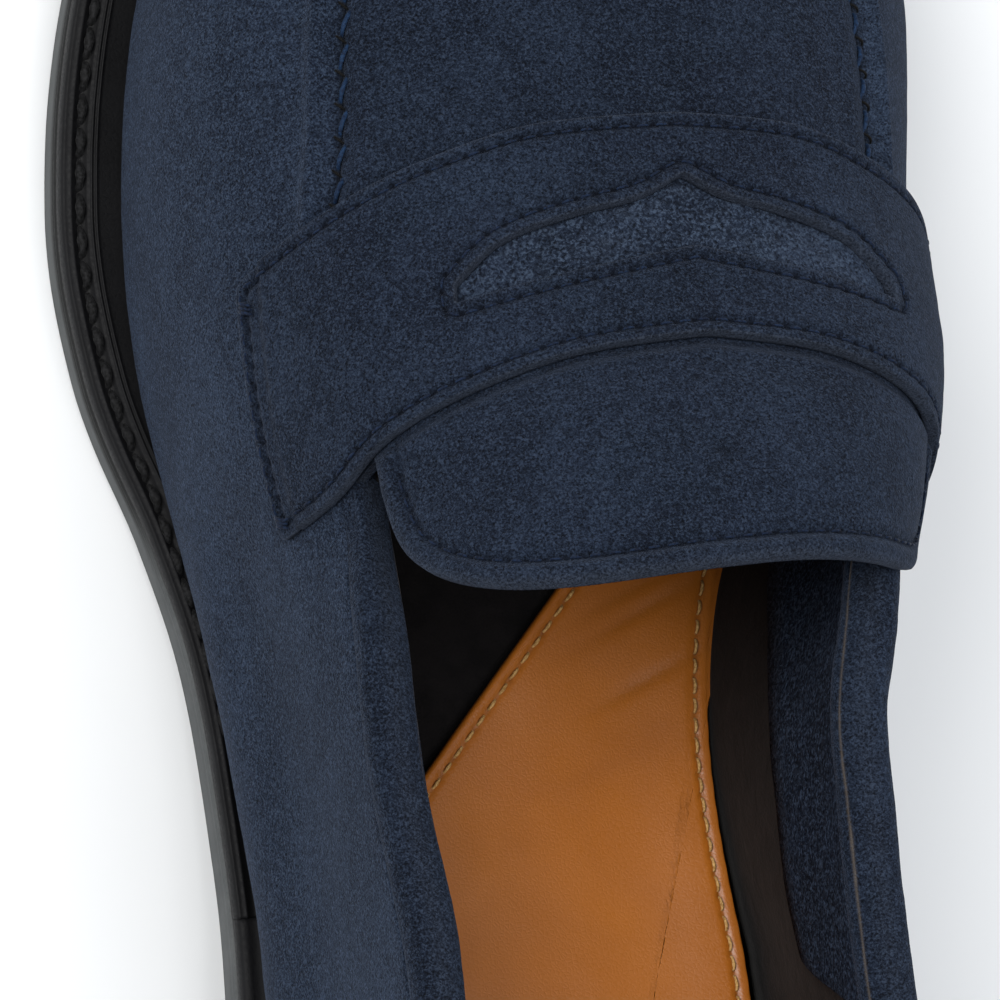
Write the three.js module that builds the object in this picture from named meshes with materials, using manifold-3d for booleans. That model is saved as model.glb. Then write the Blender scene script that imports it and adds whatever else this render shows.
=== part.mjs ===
// Penny loafer, left shoe, men's EU 42. Millimetres, +Z up, toe towards -Y, lateral side towards +X.
// Every leather layer is an offset of one last surface, so the layers keep their clearance
// whatever the last measures.
import * as THREE from 'three';
import Module from 'manifold-3d';
import { mergeVertices } from 'three/addons/utils/BufferGeometryUtils.js';

// ---------------------------------------------------------------- driving dimensions
const LAST_LENGTH = 290; // feather line, back of heel to toe
const BALL_WIDTH = 97.5; // feather line across the ball
const RIDGE_HEIGHT = 85; // top of the last over the footbed at the heel
const TOE_SPRING = 8; // rise of the sole from the tread to the toe
const GAP = 0.3; // clearance between touching pieces

const WELT_THICKNESS = 3;
const OUTSOLE_THICKNESS = 5;
const LIFT_THICKNESS = 3.9;
const LIFT_COUNT = 3;
const TOP_PIECE_THICKNESS = 5.8;
const LIFT_TAPER = 0.5; // each lift is this much smaller all round than the one above it
const HEEL_BREAST = 74; // from the back of the last to the front face of the heel

const SUEDE = 1.6; // thickness of the suede pieces
const STIFFENER = 1.0; // heel counter and toe puff
const LINING = 1.0;
const STRAP_BACKING = 0.6;
const FACING = 1.0;
const BINDING_RISE = 3.2; // collar binding over the cut edge of the upper
const LINING_CLEARANCE = 0.8; // around the edge of the insole

const INSOLE_THICKNESS = 2.5;
const INSOLE_LIFT = 1.0; // underside of the insole over the feather line
const RIB_WIDTH = 2.5;
const CORK_THICKNESS = 2.2;
const CORK_CLEARANCE = 0.9; // inside the rib
const SHANK_LENGTH = 112;
const SHANK_WIDTH = 16;
const SHANK_THICKNESS = 1.2;
const SHANK_START = 48; // from the back of the last
const SOCK_CLEARANCE = 0.4; // under the sock, over the curve of the insole
const FOAM_THICKNESS = 1.5;
const SOCK_THICKNESS = 1.0;
const FORE_SOCK_THICKNESS = 0.8;

const HEEL_NAIL_DIAMETER = 2.6;
const HEEL_NAIL_COUNT = 5;
const TACK_DIAMETER = 2.0;
const TACK_LENGTH = 4.2;
const TACK_COUNT = 5;

const WELT_THREAD = 0.9; // diameters
const UPPER_THREAD = 0.6;

const STRAP_END = 0.632; // strap ends, as a share of the half girth from ridge to feather
const SLOT_END = 0.31; // ends of the strap's window, same measure
const TONGUE_SIDE = 0.425; // side edges of the tongue, same measure
const TONGUE_LENGTH = 27.5; // behind the strap
const TONGUE_CORNER = 7.5; // rounding of its rear corners
const TONGUE_LINING_LATERAL = 0.38;
const TONGUE_LINING_MEDIAL = 0.28;
const TONGUE_AXIS_BACK = 0.8; // flex line of the tongue behind the strap's rear edge

// ---------------------------------------------------------------- shape tables of the last
// Tables hold [distance from the back of the last, value] on the reference last.
const REFERENCE_LENGTH = 290;
const REFERENCE_WIDTH = 97.5;
const REFERENCE_RIDGE = 85;

const LATERAL_FEATHER = [
  [-3, 0], [16.5, 8], [27.5, 28], [32.5, 58], [34.5, 90], [34.8, 120], [38.3, 150],
  [45.4, 178], [47.7, 203], [45.2, 229], [38.5, 250], [25.5, 270.5], [8, 285],
];
const MEDIAL_FEATHER = [
  [-9, 290], [-24, 287.5], [-38.5, 273.5], [-47, 250], [-49.8, 227], [-46.8, 203],
  [-40, 176], [-33, 150], [-29.5, 122], [-30.5, 90], [-33, 58], [-31, 28], [-22, 8],
];
const SPINE_X = [[0, -4], [60, -4], [110, -4.5], [150, -5], [190, -5.5], [230, -6], [290, -7]];
const SPINE_HEEL = 42; // the spine of the last runs between these two places
const SPINE_TOE = 248;
const SPINE_BLEND = 22;
const RIDGE = [
  [0, 112], [40, 112], [90, 106], [130, 93], [160, 79.5], [180, 70.5], [200, 62.5],
  [225, 55], [250, 49], [290, 40],
];
const HEEL_RISE = [[0, 1], [40, 0.98], [70, 0.89], [100, 0.65], [140, 0.24], [175, 0.03], [195, 0]];
const TOE_RISE = [[217, 0], [235, 0.13], [265, 0.53], [290, 1], [298, 1.15]];
const FULLNESS_LATERAL = [
  [0, 3.8], [30, 3.2], [60, 2.6], [106, 2.6], [132, 3.1], [150, 2.8], [165, 2.3],
  [205, 2.2], [250, 2.5], [290, 2.9],
];
const FULLNESS_MEDIAL = [
  [0, 3.8], [30, 3.2], [60, 2.5], [106, 2.5], [132, 2.6], [150, 2.9], [177, 3.2],
  [205, 2.5], [250, 2.5], [290, 2.9],
];
const BULGE_LATERAL = [[0, 0.06], [60, 0.04], [120, 0.05], [160, 0.05], [200, 0.04], [290, 0.03]];
const BULGE_MEDIAL = [[0, 0.06], [60, 0.04], [120, 0.04], [150, 0.06], [177, 0.09], [205, 0.05], [290, 0.03]];
// Hollow of the medial wall over the arch, as a share of the half width.
const HOLLOW_MEDIAL = [[80, 0], [108, 0.12], [132, 0.16], [150, 0.09], [163, 0]];
const HOLLOW_HEIGHT = 0.42; // middle and spread of the hollow, as shares of the last's height
const HOLLOW_SPREAD = 0.24;
const WELT_LATERAL = [
  [0, 4], [100, 4], [125, 3.2], [150, 2.4], [165, 2.6], [185, 5.4], [205, 6.7], [290, 6.5],
];
const WELT_MEDIAL = [[0, 4], [60, 3.5], [100, 2.5], [150, 3.5], [190, 6], [215, 6.8], [290, 6.5]];

// Girth of the topline and of the apron seam, up the side wall from the feather line.
const THROAT = 163; // where the topline meets the apron seam
const TOPLINE_LATERAL = [[0, 66], [18, 63], [50, 53], [90, 48], [130, 47.5], [150, 48], [THROAT, 47]];
const TOPLINE_MEDIAL = [[0, 66], [18, 64], [50, 56], [90, 53.5], [130, 58], [150, 60], [THROAT, 58]];
const SEAM_LATERAL = [[THROAT, 47], [185, 46.2], [205, 45.8], [225, 43.4], [250, 40.6], [290, 37.5]];
const SEAM_MEDIAL = [[THROAT, 58], [178, 52.8], [205, 48.4], [225, 45.4], [250, 41.6], [290, 37.5]];

// Edges of the saddle strap and of its window: [share of the half girth, distance from the back].
const STRAP_FRONT = [[0, 209], [0.18, 207.9], [0.34, 204], [0.53, 196.4], [0.66, 190.4]];
const STRAP_REAR = [[0, 181.7], [0.15, 180], [0.29, 176.2], [0.42, 170.8], [0.5, 165.4], [0.66, 159.9]];
const SLOT_FRONT = [[0, 201.4], [0.06, 198.6], [0.15, 196.6], [0.25, 193.4], [0.31, 188.6]];
const SLOT_REAR = [[0, 192.3], [0.2, 188.6], [0.31, 186.2]];

// ---------------------------------------------------------------- curves
// Monotone cubic through [x, y] knots, flat beyond them.
function curve(knots) {
  const x = knots.map((k) => k[0]);
  const y = knots.map((k) => k[1]);
  const n = x.length;
  const slope = [];
  for (let i = 0; i < n - 1; i++) slope.push((y[i + 1] - y[i]) / (x[i + 1] - x[i]));
  const m = [slope[0]];
  for (let i = 1; i < n - 1; i++) {
    if (slope[i - 1] * slope[i] <= 0) {
      m.push(0);
      continue;
    }
    const before = x[i] - x[i - 1];
    const after = x[i + 1] - x[i];
    const w1 = 2 * after + before;
    const w2 = after + 2 * before;
    m.push((w1 + w2) / (w1 / slope[i - 1] + w2 / slope[i]));
  }
  m.push(slope[n - 2]);
  return (q) => {
    const c = Math.min(Math.max(q, x[0]), x[n - 1]);
    let i = 0;
    while (i < n - 2 && c >= x[i + 1]) i++;
    const h = x[i + 1] - x[i];
    const t = (c - x[i]) / h;
    const s = 1 - t;
    return y[i] * (1 + 2 * t) * s * s + h * m[i] * t * s * s
      + y[i + 1] * t * t * (3 - 2 * t) - h * m[i + 1] * t * t * s;
  };
}

const longways = LAST_LENGTH / REFERENCE_LENGTH;
const sideways = BALL_WIDTH / REFERENCE_WIDTH;
const upways = RIDGE_HEIGHT / REFERENCE_RIDGE;
const middle = LAST_LENGTH / 2;
const lerp = THREE.MathUtils.lerp;

// A table of the reference last, read at a distance along the real one.
const table = (knots, scale = 1) => {
  const f = curve(knots);
  return (l) => f(l / longways) * scale;
};
const spineX = table(SPINE_X, sideways);
const heelRise = table(HEEL_RISE);
const toeRise = table(TOE_RISE);
const ridgeOverSeat = table(RIDGE);
const fullness = { lateral: table(FULLNESS_LATERAL), medial: table(FULLNESS_MEDIAL) };
const hollow = table(HOLLOW_MEDIAL);
const bulge = { lateral: table(BULGE_LATERAL), medial: table(BULGE_MEDIAL) };
const weltWidth = { lateral: table(WELT_LATERAL), medial: table(WELT_MEDIAL) };
const topline = { lateral: table(TOPLINE_LATERAL, upways), medial: table(TOPLINE_MEDIAL, upways) };
const seam = { lateral: table(SEAM_LATERAL, upways), medial: table(SEAM_MEDIAL, upways) };

// Heights of the sole's layers along the shoe.
const heelHeight = LIFT_COUNT * LIFT_THICKNESS + TOP_PIECE_THICKNESS + (LIFT_COUNT + 1) * GAP;
const solePack = WELT_THICKNESS + GAP + OUTSOLE_THICKNESS;
const treadZ = (l) => heelHeight * heelRise(l) + TOE_SPRING * toeRise(l);
const featherZ = (l) => treadZ(l) + solePack;
const REFERENCE_SEAT = 27;
const ridgeZ = (l) => featherZ(0) + (ridgeOverSeat(l) - REFERENCE_SEAT) * upways;

// ---------------------------------------------------------------- the last
const outline = new THREE.CatmullRomCurve3(
  [...LATERAL_FEATHER, ...MEDIAL_FEATHER].map(
    ([x, l]) => new THREE.Vector3(x * sideways, middle - l * longways, 0),
  ),
  true,
  'centripetal',
);
outline.arcLengthDivisions = 2000;
const wrap = (u) => ((u % 1) + 1) % 1;
const feather = (u) => outline.getPointAt(wrap(u));
const distance = (p) => middle - p.y; // from the back of the last

// The place round the outline that is nearest the toe.
const toe = (() => {
  let best = 0.5;
  for (let u = 0.4; u < 0.6; u += 0.0005) if (feather(u).y < feather(best).y) best = u;
  return best;
})();
const sideOf = (u) => (wrap(u) < toe ? 'lateral' : 'medial');

// The place round the outline at a distance along the shoe, on one side.
function placeAt(l, side) {
  let heel = side === 'lateral' ? 0 : 1;
  let front = toe;
  for (let i = 0; i < 40; i++) {
    const half = (heel + front) / 2;
    if (distance(feather(half)) < l) heel = half;
    else front = half;
  }
  return (heel + front) / 2;
}

// Outward direction of the outline in plan.
function outward(u) {
  const t = feather(u + 0.0005).sub(feather(u - 0.0005)).normalize();
  return new THREE.Vector3(-t.y, t.x, 0);
}

// Point of the outline moved outwards by `offset`, at height z(l).
function rim(u, offset, z) {
  const p = feather(u).addScaledVector(outward(u), offset);
  p.z = z(distance(p));
  return p;
}

function spinePlace(l) {
  const blend = SPINE_BLEND * longways;
  const softplus = (v) => (v > 30 ? v : Math.log1p(Math.exp(v)));
  const low = SPINE_HEEL * longways;
  const high = SPINE_TOE * longways;
  const raised = low + (blend * softplus(((l - low) * 3) / blend)) / 3;
  return high - (blend * softplus(((high - raised) * 3) / blend)) / 3;
}

// Half section of the last from the feather line up to the spine, with the girth at each point.
const SECTION_STEPS = 60;
const sections = new Map();
function section(place) {
  const u = wrap(place);
  const key = Math.round(u * 1e7);
  if (sections.has(key)) return sections.get(key);
  const foot = feather(u);
  const l = distance(foot);
  const ls = spinePlace(l);
  const side = sideOf(u);
  const nearTip = Math.min(Math.abs(u - toe), u, 1 - u) / 0.02;
  const mix = 0.5 + 0.5 * Math.min(nearTip, 1) * (side === 'lateral' ? 1 : -1);
  const n = lerp(fullness.medial(l), fullness.lateral(l), mix);
  const b = lerp(bulge.medial(l), bulge.lateral(l), mix);
  const waist = hollow(l) * (1 - mix);
  const spine = new THREE.Vector3(spineX(ls), middle - ls, 0);
  const points = [];
  const girths = [0];
  for (let i = 0; i <= SECTION_STEPS; i++) {
    const phi = ((i / SECTION_STEPS) * Math.PI) / 2;
    const c = Math.max(Math.cos(phi), 0);
    const rise = Math.sin(phi) ** (2 / n);
    const hollowed = waist * Math.exp(-(((rise - HOLLOW_HEIGHT) / HOLLOW_SPREAD) ** 2));
    const reach = c ** (2 / n) + b * Math.sin(2 * phi) * c - hollowed;
    const p = spine.clone().lerp(foot, reach);
    p.z = lerp(featherZ(l), ridgeZ(ls), rise);
    if (i > 0) girths.push(girths[i - 1] + p.distanceTo(points[i - 1]));
    points.push(p);
  }
  const made = { points, girths, total: girths[SECTION_STEPS] };
  sections.set(key, made);
  return made;
}

// Point of the last at girth g over the feather line.
function onSection({ points, girths, total }, g) {
  const c = Math.min(Math.max(g, 0), total);
  let i = 1;
  while (i < SECTION_STEPS && girths[i] < c) i++;
  const t = (c - girths[i - 1]) / (girths[i] - girths[i - 1]);
  return points[i - 1].clone().lerp(points[i], t);
}

// Point offset from the last by place round the outline and girth.
function wallPoint(u, g, offset) {
  const p = onSection(section(u), g);
  const along = onSection(section(u + 0.002), g).sub(onSection(section(u - 0.002), g));
  const up = onSection(section(u), g + 1.5).sub(onSection(section(u), Math.max(g - 1.5, 0)));
  return p.addScaledVector(up.cross(along).normalize(), offset);
}

// Point of the last by distance along the shoe and share s of the half girth:
// s is 0 on the ridge, 1 at the lateral feather line and -1 at the medial one.
function across(l, s) {
  const made = section(placeAt(l, s >= 0 ? 'lateral' : 'medial'));
  return onSection(made, made.total * (1 - Math.abs(s)));
}
function topPoint(l, s, offset) {
  const lengthways = across(l - 1.5, s).sub(across(l + 1.5, s));
  const crossways = across(l, s + 0.02).sub(across(l, s - 0.02));
  return across(l, s).addScaledVector(crossways.cross(lengthways).normalize(), offset);
}

// Point over a place in plan, for the top of the toe.
function heightAt(x, y) {
  const p = new THREE.Vector3(x, y, 0);
  const beside = (u) => {
    const foot = feather(u);
    const ls = spinePlace(distance(foot));
    const spine = new THREE.Vector3(spineX(ls), middle - ls, 0);
    const spoke = foot.clone().sub(spine);
    const arm = p.clone().sub(spine);
    return { turn: spoke.x * arm.y - spoke.y * arm.x, share: arm.dot(spoke) / spoke.lengthSq() };
  };
  const lateral = beside(toe).turn > 0;
  let heel = placeAt(150 * longways, lateral ? 'lateral' : 'medial');
  let front = toe;
  for (let i = 0; i < 40; i++) {
    const half = (heel + front) / 2;
    if (beside(half).turn > 0 === lateral) front = half;
    else heel = half;
  }
  const { points } = section(heel);
  const foot = points[0];
  const spine = points[SECTION_STEPS];
  const span = Math.hypot(foot.x - spine.x, foot.y - spine.y);
  const share = beside(heel).share;
  let i = SECTION_STEPS;
  const reach = (k) => Math.hypot(points[k].x - spine.x, points[k].y - spine.y) / span;
  while (i > 1 && reach(i - 1) < share) i--;
  const t = (share - reach(i)) / (reach(i - 1) - reach(i));
  return lerp(points[i].z, points[i - 1].z, Math.max(t, 0));
}
function planPoint(x, y, offset) {
  const step = 1.2;
  const slopeX = (heightAt(x + step, y) - heightAt(x - step, y)) / (2 * step);
  const slopeY = (heightAt(x, y + step) - heightAt(x, y - step)) / (2 * step);
  const normal = new THREE.Vector3(-slopeX, -slopeY, 1).normalize();
  return new THREE.Vector3(x, y, heightAt(x, y)).addScaledVector(normal, offset);
}

// ---------------------------------------------------------------- solids
const LAYER_ROWS = 36; // rows of a full-length layer of the sole
// Closed solid from points and triangles, with its faces turned outwards.
function geometryOf(points, triangles) {
  const volume = triangles.reduce(
    (sum, [a, b, c]) => sum + points[a].dot(points[b].clone().cross(points[c])) / 6,
    0,
  );
  const turned = volume < 0 ? triangles.map(([a, b, c]) => [a, c, b]) : triangles;
  const geometry = new THREE.BufferGeometry().setFromPoints(points);
  geometry.setIndex(turned.flat());
  return geometry;
}

// A sheet of leather: point(i, j, offset) over a grid, between two offsets.
function sheet(rows, columns, point, outer, inner) {
  const points = [];
  for (const offset of [outer, inner]) {
    for (let i = 0; i <= rows; i++) {
      for (let j = 0; j <= columns; j++) points.push(point(i / rows, j / columns, offset));
    }
  }
  const at = (layer, i, j) => (layer * (rows + 1) + i) * (columns + 1) + j;
  const triangles = [];
  const quad = (a, b, c, d) => triangles.push([a, b, c], [a, c, d]);
  for (let i = 0; i < rows; i++) {
    for (let j = 0; j < columns; j++) {
      quad(at(0, i, j), at(0, i, j + 1), at(0, i + 1, j + 1), at(0, i + 1, j));
      quad(at(1, i, j), at(1, i + 1, j), at(1, i + 1, j + 1), at(1, i, j + 1));
    }
    quad(at(0, i, 0), at(0, i + 1, 0), at(1, i + 1, 0), at(1, i, 0));
    quad(at(0, i, columns), at(1, i, columns), at(1, i + 1, columns), at(0, i + 1, columns));
  }
  for (let j = 0; j < columns; j++) {
    quad(at(0, 0, j), at(1, 0, j), at(1, 0, j + 1), at(0, 0, j + 1));
    quad(at(0, rows, j), at(0, rows, j + 1), at(1, rows, j + 1), at(1, rows, j));
  }
  return geometryOf(points, triangles);
}

// A closed section swept through stations; section(t) gives its points in order.
function sweep(steps, sectionAt, closed = false) {
  const rings = [];
  const count = closed ? steps : steps + 1;
  for (let i = 0; i < count; i++) rings.push(sectionAt(i / steps));
  const sides = rings[0].length;
  const at = (i, j) => (i % count) * sides + (j % sides);
  const triangles = [];
  for (let i = 0; i < steps; i++) {
    for (let j = 0; j < sides; j++) {
      triangles.push([at(i, j), at(i, j + 1), at(i + 1, j + 1)], [at(i, j), at(i + 1, j + 1), at(i + 1, j)]);
    }
  }
  if (!closed) {
    for (let j = 1; j < sides - 1; j++) {
      triangles.push([at(0, 0), at(0, j + 1), at(0, j)], [at(steps, 0), at(steps, j), at(steps, j + 1)]);
    }
  }
  return geometryOf(rings.flat(), triangles);
}

// Strip round the outline between two offsets and two heights.
function strip(from, to, steps, inner, outer, bottom, top) {
  return sweep(steps, (t) => {
    const u = lerp(from, to, t);
    return [rim(u, inner(u), bottom), rim(u, outer(u), bottom), rim(u, outer(u), top), rim(u, inner(u), top)];
  });
}

// Share of a run that takes half-size steps at its two ends.
const closerAtEnds = (t) => t - Math.sin(2 * Math.PI * t) / (4 * Math.PI);

// Flat layer of the sole from the heel forwards. It ends at the toe, or at a straight front
// edge between two distances from the back, one on each side.
function layer(offset, bottom, top, lateral = LAST_LENGTH, medial = LAST_LENGTH) {
  const full = lateral >= LAST_LENGTH && medial >= LAST_LENGTH;
  const end = full ? toe : placeAt(lateral, 'lateral');
  const rowCount = Math.round(LAYER_ROWS * (end / toe));
  const columns = 4;
  const points = [];
  const rows = [];
  const add = (p, height) => points.push(p.clone().setZ(height(distance(p)))) - 1;
  for (let i = 0; i <= rowCount; i++) {
    const place = end * closerAtEnds(i / rowCount);
    if (i === 0 || (full && i === rowCount)) {
      const tip = rim(place, offset(place), top);
      const pair = [add(tip, top), add(tip, bottom)];
      rows.push(Array(columns + 1).fill(pair));
      continue;
    }
    const opposite = placeAt((distance(feather(place)) * medial) / lateral, 'medial');
    const left = rim(place, offset(place), top);
    const right = rim(opposite, offset(opposite), top);
    rows.push(Array.from({ length: columns + 1 }, (_, j) => {
      const p = left.clone().lerp(right, j / columns);
      return [add(p, top), add(p, bottom)];
    }));
  }
  const triangles = [];
  const face = (a, b, c) => {
    if (a !== b && b !== c && a !== c) triangles.push([a, b, c]);
  };
  const quad = (a, b, c, d) => {
    face(a, b, c);
    face(a, c, d);
  };
  for (let i = 0; i < rowCount; i++) {
    const [here, next] = [rows[i], rows[i + 1]];
    for (let j = 0; j < columns; j++) {
      quad(here[j][0], here[j + 1][0], next[j + 1][0], next[j][0]);
      quad(here[j][1], next[j][1], next[j + 1][1], here[j + 1][1]);
    }
    quad(here[0][0], next[0][0], next[0][1], here[0][1]);
    quad(here[columns][0], here[columns][1], next[columns][1], next[columns][0]);
  }
  if (!full) {
    const last = rows[rowCount];
    for (let j = 0; j < columns; j++) quad(last[j][0], last[j + 1][0], last[j + 1][1], last[j][1]);
  }
  return geometryOf(points, triangles);
}

// Sewing thread along points, as a slim square tube; a closed one joins its own end.
function thread(points, diameter, closed = false) {
  const path = new THREE.CatmullRomCurve3(points, closed);
  const frames = path.computeFrenetFrames(points.length - (closed ? 0 : 1), closed);
  const steps = points.length - (closed ? 0 : 1);
  const radius = diameter / 2;
  return sweep(
    steps,
    (t) => {
      const i = Math.round(t * steps);
      const centre = points[i % points.length];
      return [0, 1, 2, 3].map((k) => {
        const angle = (k * Math.PI) / 2;
        return centre
          .clone()
          .addScaledVector(frames.normals[i], radius * Math.cos(angle))
          .addScaledVector(frames.binormals[i], radius * Math.sin(angle));
      });
    },
    closed,
  );
}

// ---------------------------------------------------------------- joining and cutting
const wasm = await Module();
wasm.setup();
function solidOf(geometry) {
  const plain = geometry.clone();
  plain.deleteAttribute('normal');
  plain.deleteAttribute('uv');
  const merged = mergeVertices(plain, 1e-4);
  return new wasm.Manifold(new wasm.Mesh({
    numProp: 3,
    vertProperties: new Float32Array(merged.attributes.position.array),
    triVerts: new Uint32Array(merged.index.array),
  }));
}
function geometryFrom(solid) {
  const mesh = solid.getMesh();
  const geometry = new THREE.BufferGeometry();
  geometry.setAttribute('position', new THREE.BufferAttribute(mesh.vertProperties, 3));
  geometry.setIndex(new THREE.BufferAttribute(mesh.triVerts, 1));
  return geometry;
}
function cut(geometry, tools) {
  let solid = solidOf(geometry);
  for (const tool of tools) solid = solid.subtract(solidOf(tool));
  return geometryFrom(solid);
}

// ---------------------------------------------------------------- materials
const material = (color, roughness, metalness = 0) =>
  new THREE.MeshStandardMaterial({ color, roughness, metalness });
const suede = material('#33465c', 0.95);
const suedeInside = material('#4a6078', 0.95);
const blackLeather = material('#15161a', 0.45);
const tanLeather = material('#a2693a', 0.5);
const blackTextile = material('#17181b', 0.9);
const soleRubber = material('#6a6d70', 0.7);
const heelStack = material('#1c1b1b', 0.6);
const cork = material('#b58a58', 0.95);
const steel = material('#8f9499', 0.35, 1);
const brass = material('#b8964f', 0.35, 1);
const board = material('#8d7a5f', 0.9);
const foam = material('#c9bfa8', 0.95);
const blackThread = material('#101114', 0.7);
const blueThread = material('#3f587a', 0.7);
const creamThread = material('#cbb894', 0.7);

const shoe = new THREE.Group();
function piece(name, geometry, look) {
  const mesh = new THREE.Mesh(geometry, look.clone());
  mesh.name = name;
  shoe.add(mesh);
}

// ---------------------------------------------------------------- bottom
const flat = () => 0;
const outer = (u) => {
  const l = distance(feather(u));
  const nearTip = Math.min(Math.abs(wrap(u) - toe), wrap(u), 1 - wrap(u)) / 0.02;
  const mix = 0.5 + 0.5 * Math.min(nearTip, 1) * (sideOf(u) === 'lateral' ? 1 : -1);
  return lerp(weltWidth.medial(l), weltWidth.lateral(l), mix);
};
const outsoleTop = (l) => treadZ(l) + OUTSOLE_THICKNESS;
const wallThickness = SUEDE + STIFFENER + LINING + 2 * GAP;
const insoleEdge = () => -wallThickness - LINING_CLEARANCE;

function heelNailPlaces(count, inset, depth) {
  return Array.from({ length: count }, (_, i) => {
    const u = lerp(-0.11, 0.11, i / (count - 1));
    return feather(u).addScaledVector(outward(u), -inset).setZ(depth);
  });
}
function pin(centre, diameter, height, sides) {
  return new THREE.CylinderGeometry(diameter / 2, diameter / 2, height, sides)
    .rotateX(Math.PI / 2)
    .translate(centre.x, centre.y, centre.z);
}

const PIN_SIDES = 6;
const NAIL_INSET = 15;
const TACK_INSET = 9;
const stackBottom = TOP_PIECE_THICKNESS + GAP;
const nailBottom = stackBottom + LIFT_THICKNESS / 2;
const nailTop = heelHeight * heelRise(0) + OUTSOLE_THICKNESS / 2;
const nailMiddle = (nailBottom + nailTop) / 2;
const nailPlaces = heelNailPlaces(HEEL_NAIL_COUNT, NAIL_INSET, nailMiddle);
const nailHoles = nailPlaces.map((p) =>
  pin(p, HEEL_NAIL_DIAMETER + 2 * GAP, nailTop - nailBottom + 2 * GAP, PIN_SIDES));
nailPlaces.forEach((p, i) =>
  piece(`heel_nail_${i + 1}`, pin(p, HEEL_NAIL_DIAMETER, nailTop - nailBottom, PIN_SIDES), brass));

const tackPlaces = heelNailPlaces(TACK_COUNT, TACK_INSET, TACK_LENGTH / 2);
const tackHoles = tackPlaces.map((p) =>
  pin(p, TACK_DIAMETER + 2 * GAP, TACK_LENGTH + 2 * GAP, PIN_SIDES));
tackPlaces.forEach((p, i) =>
  piece(`top_piece_tack_${i + 1}`, pin(p, TACK_DIAMETER, TACK_LENGTH, PIN_SIDES), steel));

piece('outsole', cut(layer(outer, treadZ, outsoleTop), nailHoles), soleRubber);

// The heel block: the top piece on the ground, then lifts up to the outsole.
const share = (z) => (l) => (z / heelHeight) * treadZ(l);
const block = (taper, bottom, top) =>
  layer((u) => outer(u) - taper, bottom, top, HEEL_BREAST, HEEL_BREAST);
piece(
  'top_piece',
  cut(block(LIFT_COUNT * LIFT_TAPER, flat, share(TOP_PIECE_THICKNESS)), tackHoles),
  blackLeather,
);
for (let i = 0; i < LIFT_COUNT; i++) {
  const bottom = TOP_PIECE_THICKNESS + GAP + i * (LIFT_THICKNESS + GAP);
  const lift = block((LIFT_COUNT - 1 - i) * LIFT_TAPER, share(bottom), share(bottom + LIFT_THICKNESS));
  piece(`heel_lift_${i + 1}`, cut(lift, nailHoles), heelStack);
}

const RAND_FRONT = 118 * longways; // the welt stops here and the heel rand takes over
const weltBottom = (l) => outsoleTop(l) + GAP;
const weltTop = (l) => featherZ(l);
const weltLateral = placeAt(RAND_FRONT + GAP, 'lateral');
const weltMedial = placeAt(RAND_FRONT + GAP, 'medial');
const randLateral = placeAt(RAND_FRONT, 'lateral');
const randMedial = placeAt(RAND_FRONT, 'medial') - 1;
piece('welt', strip(weltLateral, weltMedial, 56, insoleEdge, outer, weltBottom, weltTop), blackLeather);
piece('heel_rand', strip(randMedial, randLateral, 36, insoleEdge, outer, weltBottom, weltTop), blackLeather);

const RIB_INSET = 3;
const ribOuter = () => insoleEdge() - RIB_INSET;
const ribInner = () => ribOuter() - RIB_WIDTH;
const insoleBottom = (l) => featherZ(l) + INSOLE_LIFT;
const insoleTop = (l) => insoleBottom(l) + INSOLE_THICKNESS;
piece('insole', layer(insoleEdge, insoleBottom, insoleTop), board);
piece(
  'insole_rib',
  sweep(60, (t) => {
    const inner = rim(t, ribInner(), weltBottom);
    const upper = (offset) => rim(t, offset, (l) => insoleBottom(l) - GAP);
    return [inner, rim(t, ribOuter(), weltBottom), upper(ribOuter()), upper(ribInner())];
  }, true),
  board,
);
const corkEdge = () => ribInner() - CORK_CLEARANCE;
const corkTop = (l) => weltBottom(l) + CORK_THICKNESS;
piece('cork_filler', layer(corkEdge, weltBottom, corkTop), cork);

piece(
  'shank',
  sweep(16, (t) => {
    const l = SHANK_START + SHANK_LENGTH * t;
    const low = corkTop(l) + GAP;
    const high = low + SHANK_THICKNESS;
    const x = spineX(l);
    const y = middle - l;
    const half = SHANK_WIDTH / 2;
    return [
      new THREE.Vector3(x - half, y, low),
      new THREE.Vector3(x - half, y, high),
      new THREE.Vector3(x + half, y, high),
      new THREE.Vector3(x + half, y, low),
    ];
  }),
  steel,
);

// Sock: tan leather over foam in the rear, thin black cover in the forepart.
const SOCK_FRONT_LATERAL = 117 * longways;
const SOCK_FRONT_MEDIAL = 194 * longways;
const SOCK_EDGE = 1.2; // inside the edge of the insole
const SOCK_WAIST = [[112, 0], [150, 3.6], [172, 2.6], [198, 0]]; // further inside at the medial waist
const sockWaist = table(SOCK_WAIST);
const sockEdge = (u) => {
  const waist = wrap(u) > toe ? sockWaist(distance(feather(u))) : 0;
  return insoleEdge() - SOCK_EDGE - waist;
};
const sockBase = (l) => insoleTop(l) + SOCK_CLEARANCE;
const foamTop = (l) => sockBase(l) + FOAM_THICKNESS;
const sockBottom = (l) => foamTop(l) + GAP;
const sockTop = (l) => sockBottom(l) + SOCK_THICKNESS;
const frontLateral = placeAt(SOCK_FRONT_LATERAL, 'lateral');
const frontMedial = placeAt(SOCK_FRONT_MEDIAL, 'medial');
const sockLayer = (bottom, top) =>
  layer(sockEdge, bottom, top, SOCK_FRONT_LATERAL, SOCK_FRONT_MEDIAL);
piece('sock_foam', sockLayer(sockBase, foamTop), foam);
piece('sock_lining', sockLayer(sockBottom, sockTop), tanLeather);

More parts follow.
